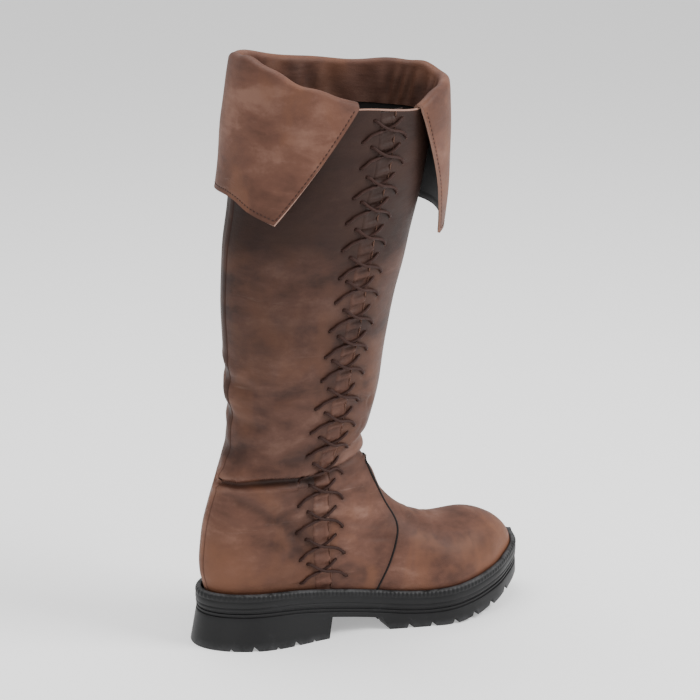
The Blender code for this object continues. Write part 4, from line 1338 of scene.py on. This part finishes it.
def cuff_points(place, share, lift=0.0):
    """Points of the cuff's good side: up inside the collar, over the fold and down the flap."""
    fold_angle, fold, hem_angle, hem, stand_off = cuff_rows(place)
    inside = -(WALL + FACET_GAP + CUFF_LEATHER)
    centre = inside + FOLD_RADIUS
    wave = 0.0011 * np.sin(3.1 * place + 0.6) + 0.0007 * np.sin(7.3 * place + 2.0)
    facing = np.clip(share / FACING_SHARE, 0.0, 1.0)
    turn = math.pi * np.clip((share - FACING_SHARE) / (ROLL_SHARE - FACING_SHARE), 0.0, 1.0)
    flap = np.clip((share - ROLL_SHARE) / (1.0 - ROLL_SHARE), 0.0, 1.0)
    low = fold - FACING_DEPTH
    top = fold - FOLD_RADIUS
    z = low + (top - low) * facing + (hem - top) * flap
    angle = fold_angle + (hem_angle - fold_angle) * flap
    base, out = shaft_frames(angle, z)
    start = centre + FOLD_RADIUS
    hanging = start + (stand_off - start) * flap ** 0.85
    rolled = np.where(share < ROLL_SHARE, centre - FOLD_RADIUS * np.cos(turn), hanging)
    off = np.where(share <= FACING_SHARE, inside, rolled)
    swell = 0.0016 * wobble(base, CUFF_WAVES) * smoothstep(0.05, 0.5, flap)
    ripple = 0.0014 * np.sin(19.0 * place + 1.3 * np.sin(5.0 * place)) * np.sin(math.pi * facing)
    ripple *= turn == 0.0
    lift = lift * np.where(share <= FACING_SHARE, -1.0, 1.0)
    points = base + out * (off + ripple + swell + lift)[:, None]
    points[:, 2] += FOLD_RADIUS * np.sin(turn) + wave * smoothstep(0.0, 1.0, facing) * (1.0 - flap) ** 2
    return points, swell, out


def eased(u, edge, share):
    """Places from 0 to 1 that lie closer together within edge of both ends, which take that share of u."""
    inner = (u - share) / (1.0 - 2.0 * share) * (1.0 - 2.0 * edge) + edge
    late = np.where(u > 1.0 - share, 1.0 - (1.0 - u) / share * edge, inner)
    return np.where(u < share, u / share * edge, late)


class BOOT_OT_cuff(bpy.types.Operator):
    """Cuff: one leather band folded over the collar, lined in black and split at the lacing"""

    bl_idname = "boot.cuff"
    bl_label = "Cuff"

    def execute(self, context):
        z = sizes()
        mesh = unit_grid(*CUFF_GRID)
        uv = coordinates(mesh)
        place = CUFF_LAST * eased(uv[:, 0], 0.02, 0.05)
        share = uv[:, 1]
        points, swell, _ = cuff_points(place, share)
        flap = smoothstep(ROLL_SHARE, ROLL_SHARE + 0.05, share)
        from_hem = (1.0 - share) * FLAP_LENGTH / (1.0 - ROLL_SHARE)
        from_end = np.minimum(place, CUFF_LAST - place) * END_LENGTH
        border = np.minimum(from_hem, from_end)
        groove = 0.0005 * np.exp(-((border - z.stitch_inset) / 0.0011) ** 2) * flap
        points, _, _ = cuff_points(place, share, -groove)
        move_to(mesh, points)
        mark(mesh, "crease", 500.0 * swell - 1500.0 * groove)
        mark(mesh, "warm", 0.10 * flap)
        # Painted shade on the facing inside the collar, and painted shade along the cuff's edges.
        mark(mesh, "shade_and_tone", 0.62 * (1.0 - smoothstep(0.08, 0.24, share)) + 0.08)
        mark(mesh, "edge", np.exp(-(border / 0.0012) ** 2))
        bmesh.ops.recalc_face_normals(mesh, faces=mesh.faces[:])
        mesh.faces.ensure_lookup_table()
        hem = max(mesh.faces, key=lambda face: face.calc_center_median().x)
        if hem.normal.x < 0.0:
            bmesh.ops.reverse_faces(mesh, faces=mesh.faces[:])
        add_piece("cuff_leather", mesh, CUFF_SIDES, ("cuff",), wall=CUFF_LEATHER)
        return {"FINISHED"}


class BOOT_OT_stitches(bpy.types.Operator):
    """Stitch lines inside the cuff's ends and hem"""

    bl_idname = "boot.stitches"
    bl_label = "Stitches"

    def execute(self, context):
        z = sizes()
        end = z.stitch_inset / END_LENGTH
        low = 1.0 - z.stitch_inset * (1.0 - ROLL_SHARE) / FLAP_LENGTH
        runs = []
        for place_from, place_to, share_from, share_to in (
                (end, end, ROLL_SHARE + 0.01, low), (end, CUFF_LAST - end, low, low),
                (CUFF_LAST - end, CUFF_LAST - end, low, ROLL_SHARE + 0.01)):
            place = np.linspace(place_from, place_to, STITCH_POINTS)
            share = np.linspace(share_from, share_to, STITCH_POINTS)
            points, _, out = cuff_points(place, share, -0.0003)
            runs.append((points, out))
        stitch_piece("cuff_stitches", runs, "thread", z.stitch, 0.0010)
        return {"FINISHED"}


# Sole


def plan_line(height, count):
    """Evenly spaced plan of the foot at a height above the footbed: x, y and the outward direction."""
    def seat_height(s):
        row = catmull(SECTIONS, s)
        return row[:, 3] - footbed(row[:, 2]) - height

    back = solve(seat_height, np.array([ANKLE_SECTION - 4.0]), np.array([ANKLE_SECTION]))
    heel = catmull(SECTIONS, back)[0]
    toe = catmull(SECTIONS, np.array([0.0]))[0]
    shares = 0.5 - 0.5 * np.cos(np.linspace(0.0, math.pi, PLAN_STEPS + 1)[1:-1])
    x = heel[2] + (toe[0] - heel[2]) * shares
    halves = []
    for side in (OUTER, INNER):
        s, angle = side_places(x, footbed(x) + height, side)
        halves.append(np.column_stack((x, upper_points(s, angle)[:, 1])))
    plan = np.vstack(([(heel[2], heel[7])], halves[0], [(toe[0], toe[7])], halves[1][::-1]))
    dense = catmull(np.vstack((plan[-2:], plan, plan[:3])), 2.0 + np.linspace(0.0, len(plan), 6000))
    reached = run_lengths(dense)
    wanted = np.linspace(0.0, reached[-1], count + 1)[:-1]
    places = np.column_stack([np.interp(wanted, reached, column) for column in dense.T])
    spread = max(count // 90, 1)
    along = np.roll(places, -spread, 0) - np.roll(places, spread, 0)
    along /= np.linalg.norm(along, axis=1)[:, None]
    return places, np.column_stack((along[:, 1], -along[:, 0])), reached[-1]


def ring_points(places, outs, grow, heel_grow, level):
    """Plan points grown outwards and set at their heights."""
    fade = 1.0 - smoothstep(0.12 * SOLE_LENGTH, 0.38 * SOLE_LENGTH, places[:, 0])
    moved = places + outs * (grow + heel_grow * fade)[:, None]
    return np.column_stack((moved, level(moved[:, 0])))


def wrapped_solid(columns, rows, point_at, close_profile):
    """Bmesh of a grid wrapped round the foot, with its profile closed too if it is asked for."""
    mesh = unit_grid(columns, rows)
    uv = coordinates(mesh)
    column = np.rint(uv[:, 0] * columns).astype(int) % columns
    row = np.rint(uv[:, 1] * rows).astype(int)
    if close_profile:
        row = row % rows
    move_to(mesh, point_at(column, row))
    return mesh


class BOOT_OT_rim(bpy.types.Operator):
    """Rubber rim: rounded lip with moulded ticks, band and two fine lines"""

    bl_idname = "boot.rim"
    bl_label = "Rim"

    def execute(self, context):
        z = sizes()
        places, outs, length = plan_line(LIP_HEIGHT, RIM_COLUMNS)
        drop = BAND_HEIGHT - GAP
        # Growth beyond the upper and depth below the lip's top, in metres
        grows, drops = np.array((
            (0.0006, 0.0010), (0.0009, 0.0002), (0.0017, 0.0), (0.0028, 0.0001), (0.0039, 0.0006),
            (0.0046, 0.0013), (0.0050, 0.0023), (0.0052, 0.0036), (0.0052, 0.0046), (0.0049, 0.0051),
            (0.0049, 0.0055), (0.0052, 0.0060), (0.0053, 0.0075), (0.0053, 0.0092), (0.0051, 0.0102),
            (0.0046, 0.0106), (0.0046, 0.0110), (0.0050, 0.0114), (0.0051, 0.0124), (0.0050, drop - 0.0004),
            (0.0046, drop), (-0.0070, drop), (-0.0070, 0.0074), (0.0002, 0.0062),
        )).T
        turns = 2.0 * math.pi * np.round(length / z.tick_pitch) * np.arange(RIM_COLUMNS) / RIM_COLUMNS
        tick = TICK_HEIGHT * np.clip(1.6 * np.cos(turns), -1.0, 1.0)
        ticked = (drops > 0.0005) & (drops < 0.0045) & (grows > 0.003)

        def point_at(column, row):
            grow = grows[row] + tick[column] * ticked[row]
            points = ring_points(places[column], outs[column], grow, HEEL_SPREAD, rim_top)
            points[:, 2] -= drops[row]
            return points

        mesh = wrapped_solid(RIM_COLUMNS, len(grows), point_at, True)
        points = coordinates(mesh)
        depth = rim_top(points[:, 0]) - points[:, 2]
        # Painted highlight, with some dusting: a thin pale line along the top of the lip.
        mark(mesh, "wear_and_highlight", 0.7 * np.exp(-((depth - 0.0002) / 0.0007) ** 2))
        merge(mesh)
        face_outwards(mesh)
        add_piece("rim", mesh, ["rubber"], ("midsole",), sharp=55.0)
        return {"FINISHED"}


def side_prism(outline, near, far):
    """Closed bmesh of a side-view outline between two places across the boot."""
    mesh = bmesh.new()
    verts = [mesh.verts.new((x, near, z)) for x, z in outline]
    face = mesh.faces.new(verts)
    made = bmesh.ops.extrude_face_region(mesh, geom=[face])["geom"]
    moved = [item for item in made if isinstance(item, bmesh.types.BMVert)]
    bmesh.ops.translate(mesh, verts=moved, vec=(0.0, far - near, 0.0))
    face_outwards(mesh)
    return mesh


def notch(x, z, size):
    """Side view of a groove cut up into the tread, with a rounded roof."""
    width, depth = size
    return [(x - 0.5 * width, z), (x - 0.28 * width, z + 0.72 * depth), (x - 0.14 * width, z + depth),
            (x + 0.14 * width, z + depth), (x + 0.28 * width, z + 0.72 * depth), (x + 0.5 * width, z)]


def ground_outline():
    """Side view of everything under the outsole."""
    kinds = {"small": SMALL_NOTCH, "big": BIG_NOTCH}
    margin = 0.1 * SOLE_LENGTH
    outline = [(-margin, -margin), (-margin, 0.0)]
    for share, kind in HEEL_NOTCHES:
        outline += notch(share * SOLE_LENGTH, 0.0, kinds[kind])
    breast = HEEL_BREAST * SOLE_LENGTH
    start = FOREPART_START * SOLE_LENGTH
    under = GROOVE_HEIGHT * 3.0 + SHANK_THICKNESS
    outline.append((breast, 0.0))
    for i in range(13):
        x = breast + BREAST_SLANT + (start - 2.0 * BREAST_SLANT - breast) * i / 12.0
        outline.append((x, float(split_height(x)) - under))
    outline.append((start + BREAST_SLANT, 0.0))
    flat = FLAT_END * SOLE_LENGTH
    passed = False
    for share in FOREPART_NOTCHES:
        x = share * SOLE_LENGTH
        if x > flat and not passed:
            outline.append((flat, 0.0))
            passed = True
        if passed:
            middle = x - 0.5 * 0.065 * SOLE_LENGTH
            outline.append((middle, float(tread_height(middle))))
        outline += notch(x, float(tread_height(x)), BIG_NOTCH)
    for share in (0.92, 0.94, 0.96, 0.98, 1.0, 1.05):
        outline.append((share * SOLE_LENGTH, float(tread_height(share * SOLE_LENGTH))))
    front = SOLE_LENGTH + margin
    return outline + [(front, float(tread_height(SOLE_LENGTH * 1.05))), (front, -margin)]


def subtract(target, mesh):
    """Take a closed bmesh out of an object."""
    cutter = mesh_object("cutter", mesh)
    data = cutter.data
    modifier = target.modifiers.new("cut", "BOOLEAN")
    modifier.operation = "DIFFERENCE"
    modifier.solver = "MANIFOLD"
    modifier.object = cutter
    apply_modifiers(target)
    bpy.data.objects.remove(cutter)
    bpy.data.meshes.remove(data)


class BOOT_OT_outsole(bpy.types.Operator):
    """Outsole: heel block, shank, lugged forepart and two fine grooves round the side"""

    bl_idname = "boot.outsole"
    bl_label = "Outsole"

    def execute(self, context):
        places, outs, _ = plan_line(LIP_HEIGHT, SOLE_COLUMNS)
        recess = LIP_WIDTH - GROOVE_DEPTH
        proud = LIP_WIDTH - 0.2 * GROOVE_DEPTH
        # Groove heights below the band and growth beyond the upper, in metres
        downs, grows = np.array((
            (0.0, -0.010), (0.0, recess), (0.9, recess), (1.05, recess + 0.0006), (1.15, proud),
            (1.85, proud), (1.95, recess + 0.0006), (2.1, recess), (2.9, recess),
            (3.05, LIP_WIDTH - 0.0005), (3.3, LIP_WIDTH),
        )).T
        last = len(grows) - 1

        def point_at(column, row):
            index = np.minimum(row, last)
            share = np.clip((row - last) / SIDE_ROWS, 0.0, 1.0)
            top = ring_points(places[column], outs[column], grows[index], HEEL_SPREAD, split_height)
            top[:, 2] -= GROOVE_HEIGHT * downs[index]
            foot = ring_points(
                places[column], outs[column], np.full(len(row), LIP_WIDTH + SOLE_FLARE),
                HEEL_SPREAD + HEEL_FLARE, lambda x: np.full(len(x), BELOW_TREAD))
            return top + (foot - top) * share[:, None]

        mesh = wrapped_solid(SOLE_COLUMNS, last + SIDE_ROWS, point_at, False)
        merge(mesh)
        rings = [edge for edge in mesh.edges if edge.is_boundary]
        bmesh.ops.edgeloop_fill(mesh, edges=rings)
        bmesh.ops.triangulate(mesh, faces=[face for face in mesh.faces if len(face.verts) > 4])
        face_outwards(mesh)
        piece = mesh_object("outsole_rubber", mesh)
        subtract(piece, side_prism(ground_outline(), -BALL_WIDTH, BALL_WIDTH))
        half = 0.5 * LUG_CHANNEL[0]
        start = (FOREPART_START - 0.05) * SOLE_LENGTH
        end = 0.915 * SOLE_LENGTH
        for share in FOREPART_CHANNELS:
            stations = np.linspace(start, end, 25)
            roof = [(float(x), float(tread_height(x)) + LUG_CHANNEL[1]) for x in stations]
            outline = roof + [(end, -LUG_CHANNEL[1]), (start, -LUG_CHANNEL[1])]
            subtract(piece, side_prism(outline, share * BALL_WIDTH - half, share * BALL_WIDTH + half))
        mesh = bmesh.new()
        mesh.from_mesh(piece.data)
        bpy.data.objects.remove(piece)
        merge(mesh, 1e-5)
        sharp = []
        for edge in mesh.edges:
            x, _, z = edge.verts[0].co
            below = z < split_height(x) - 3.2 * GROOVE_HEIGHT
            if below and len(edge.link_faces) == 2 and edge.calc_face_angle() > math.radians(38.0):
                sharp.append(edge)
        bmesh.ops.bevel(
            mesh, geom=sharp, offset=0.00045, offset_type="OFFSET", segments=2, profile=0.5, affect="EDGES",
            clamp_overlap=True, material=-1)
        points = coordinates(mesh)
        mark(mesh, "wear_and_highlight", 0.35 * (1.0 - smoothstep(0.0, 0.006, points[:, 2] - tread_height(points[:, 0]))))
        add_piece("outsole_rubber", mesh, ["rubber"], ("outsole",), sharp=50.0)
        return {"FINISHED"}


class BOOT_OT_insole(bpy.types.Operator):
    """Insole: the part's own sheet with its cloth"""

    bl_idname = "boot.insole"
    bl_label = "Insole"

    def execute(self, context):
        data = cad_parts["insole"].data
        data.materials.clear()
        data.materials.append(finish("lining"))
        return {"FINISHED"}


# Stage


WHITE = (1.0, 1.0, 1.0, 1.0)
BOOT_MIDDLE = (0.03, 0.0, 0.2)

# Camera fitted to the photo. Its focal length and the aim's offset from the fitted view are in photo pixels.
CAMERA_PLACE = (-0.67829, -1.66893, 0.7350)
FITTED_VIEW = (0.35587, 0.89800, -0.25875)
FOCAL_LENGTH = 2010.0
AIM_OFFSET = (105.0, 19.0)


def area_light(name, place, size, power):
    """Square soft light aimed at the boot's middle."""
    data = bpy.data.lights.new(name, "AREA")
    data.shape = "SQUARE"
    data.size = size
    data.energy = power
    light = new_object(name, data)
    light.location = place
    light.rotation_euler = (Vector(BOOT_MIDDLE) - Vector(place)).to_track_quat("-Z", "Y").to_euler()


class BOOT_OT_stage(bpy.types.Operator):
    """Pale floor, soft light and the camera at the photo's angle"""

    bl_idname = "boot.stage"
    bl_label = "Stage"

    def execute(self, context):
        mesh = bmesh.new()
        bmesh.ops.create_grid(mesh, x_segments=1, y_segments=1, size=6.0)
        floor = mesh_object("floor", mesh)
        paint = Finish("floor_paint", 0.8, colours().floor, Emission_Strength=0.38)
        paint.shader.inputs["Emission Color"].default_value = WHITE
        floor.data.materials.append(paint.material)

        world = bpy.data.worlds.new("studio")
        world.use_nodes = True
        backdrop = world.node_tree.nodes["Background"]
        backdrop.inputs[0].default_value = WHITE
        backdrop.inputs[1].default_value = 0.70
        context.scene.world = world
        area_light("key", (1.3, -1.0, 1.5), 0.9, 42.0)
        area_light("fill", (-1.6, -1.3, 0.9), 1.4, 6.0)
        area_light("top", (-0.1, 0.4, 1.8), 1.2, 22.0)

        data = bpy.data.cameras.new("camera")
        data.sensor_width = 36.0
        data.lens = 124.0
        camera = new_object("camera", data)
        forward = Vector(FITTED_VIEW).normalized()
        right = forward.cross(Vector((0.0, 0.0, 1.0))).normalized()
        up = right.cross(forward)
        aside, down = (aim / FOCAL_LENGTH for aim in AIM_OFFSET)
        camera.location = CAMERA_PLACE
        camera.rotation_euler = (forward + right * aside - up * down).to_track_quat("-Z", "Y").to_euler()
        context.scene.camera = camera
        return {"FINISHED"}


class BOOT_PT_panel(bpy.types.Panel):
    bl_idname = "BOOT_PT_panel"
    bl_label = "Laced boot"
    bl_space_type = "VIEW_3D"
    bl_region_type = "UI"
    bl_category = "Boot"

    def draw(self, context):
        layout = self.layout
        for group in (context.scene.boot_sizes, context.scene.boot_colours):
            for name in group.__annotations__:
                layout.prop(group, name)
        for operator in OPERATORS:
            layout.operator(operator.bl_idname)


OPERATORS = (
    BOOT_OT_shaft, BOOT_OT_vamp, BOOT_OT_lining, BOOT_OT_tongue, BOOT_OT_lace, BOOT_OT_seams, BOOT_OT_cuff,
    BOOT_OT_stitches, BOOT_OT_rim, BOOT_OT_outsole, BOOT_OT_insole, BOOT_OT_stage,
)
CLASSES = (BootSizes, BootColours) + OPERATORS + (BOOT_PT_panel,)


def register():
    for item in CLASSES:
        bpy.utils.register_class(item)
    bpy.types.Scene.boot_sizes = PointerProperty(type=BootSizes)
    bpy.types.Scene.boot_colours = PointerProperty(type=BootColours)


def unregister():
    del bpy.types.Scene.boot_colours
    del bpy.types.Scene.boot_sizes
    for item in reversed(CLASSES):
        bpy.utils.unregister_class(item)


def main():
    register()
    bpy.ops.boot.shaft()
    bpy.ops.boot.vamp()
    bpy.ops.boot.lining()
    bpy.ops.boot.tongue()
    bpy.ops.boot.lace()
    bpy.ops.boot.seams()
    bpy.ops.boot.cuff()
    bpy.ops.boot.stitches()
    bpy.ops.boot.rim()
    bpy.ops.boot.outsole()
    bpy.ops.boot.insole()
    bpy.ops.boot.stage()


if __name__ == "__main__":
    main()
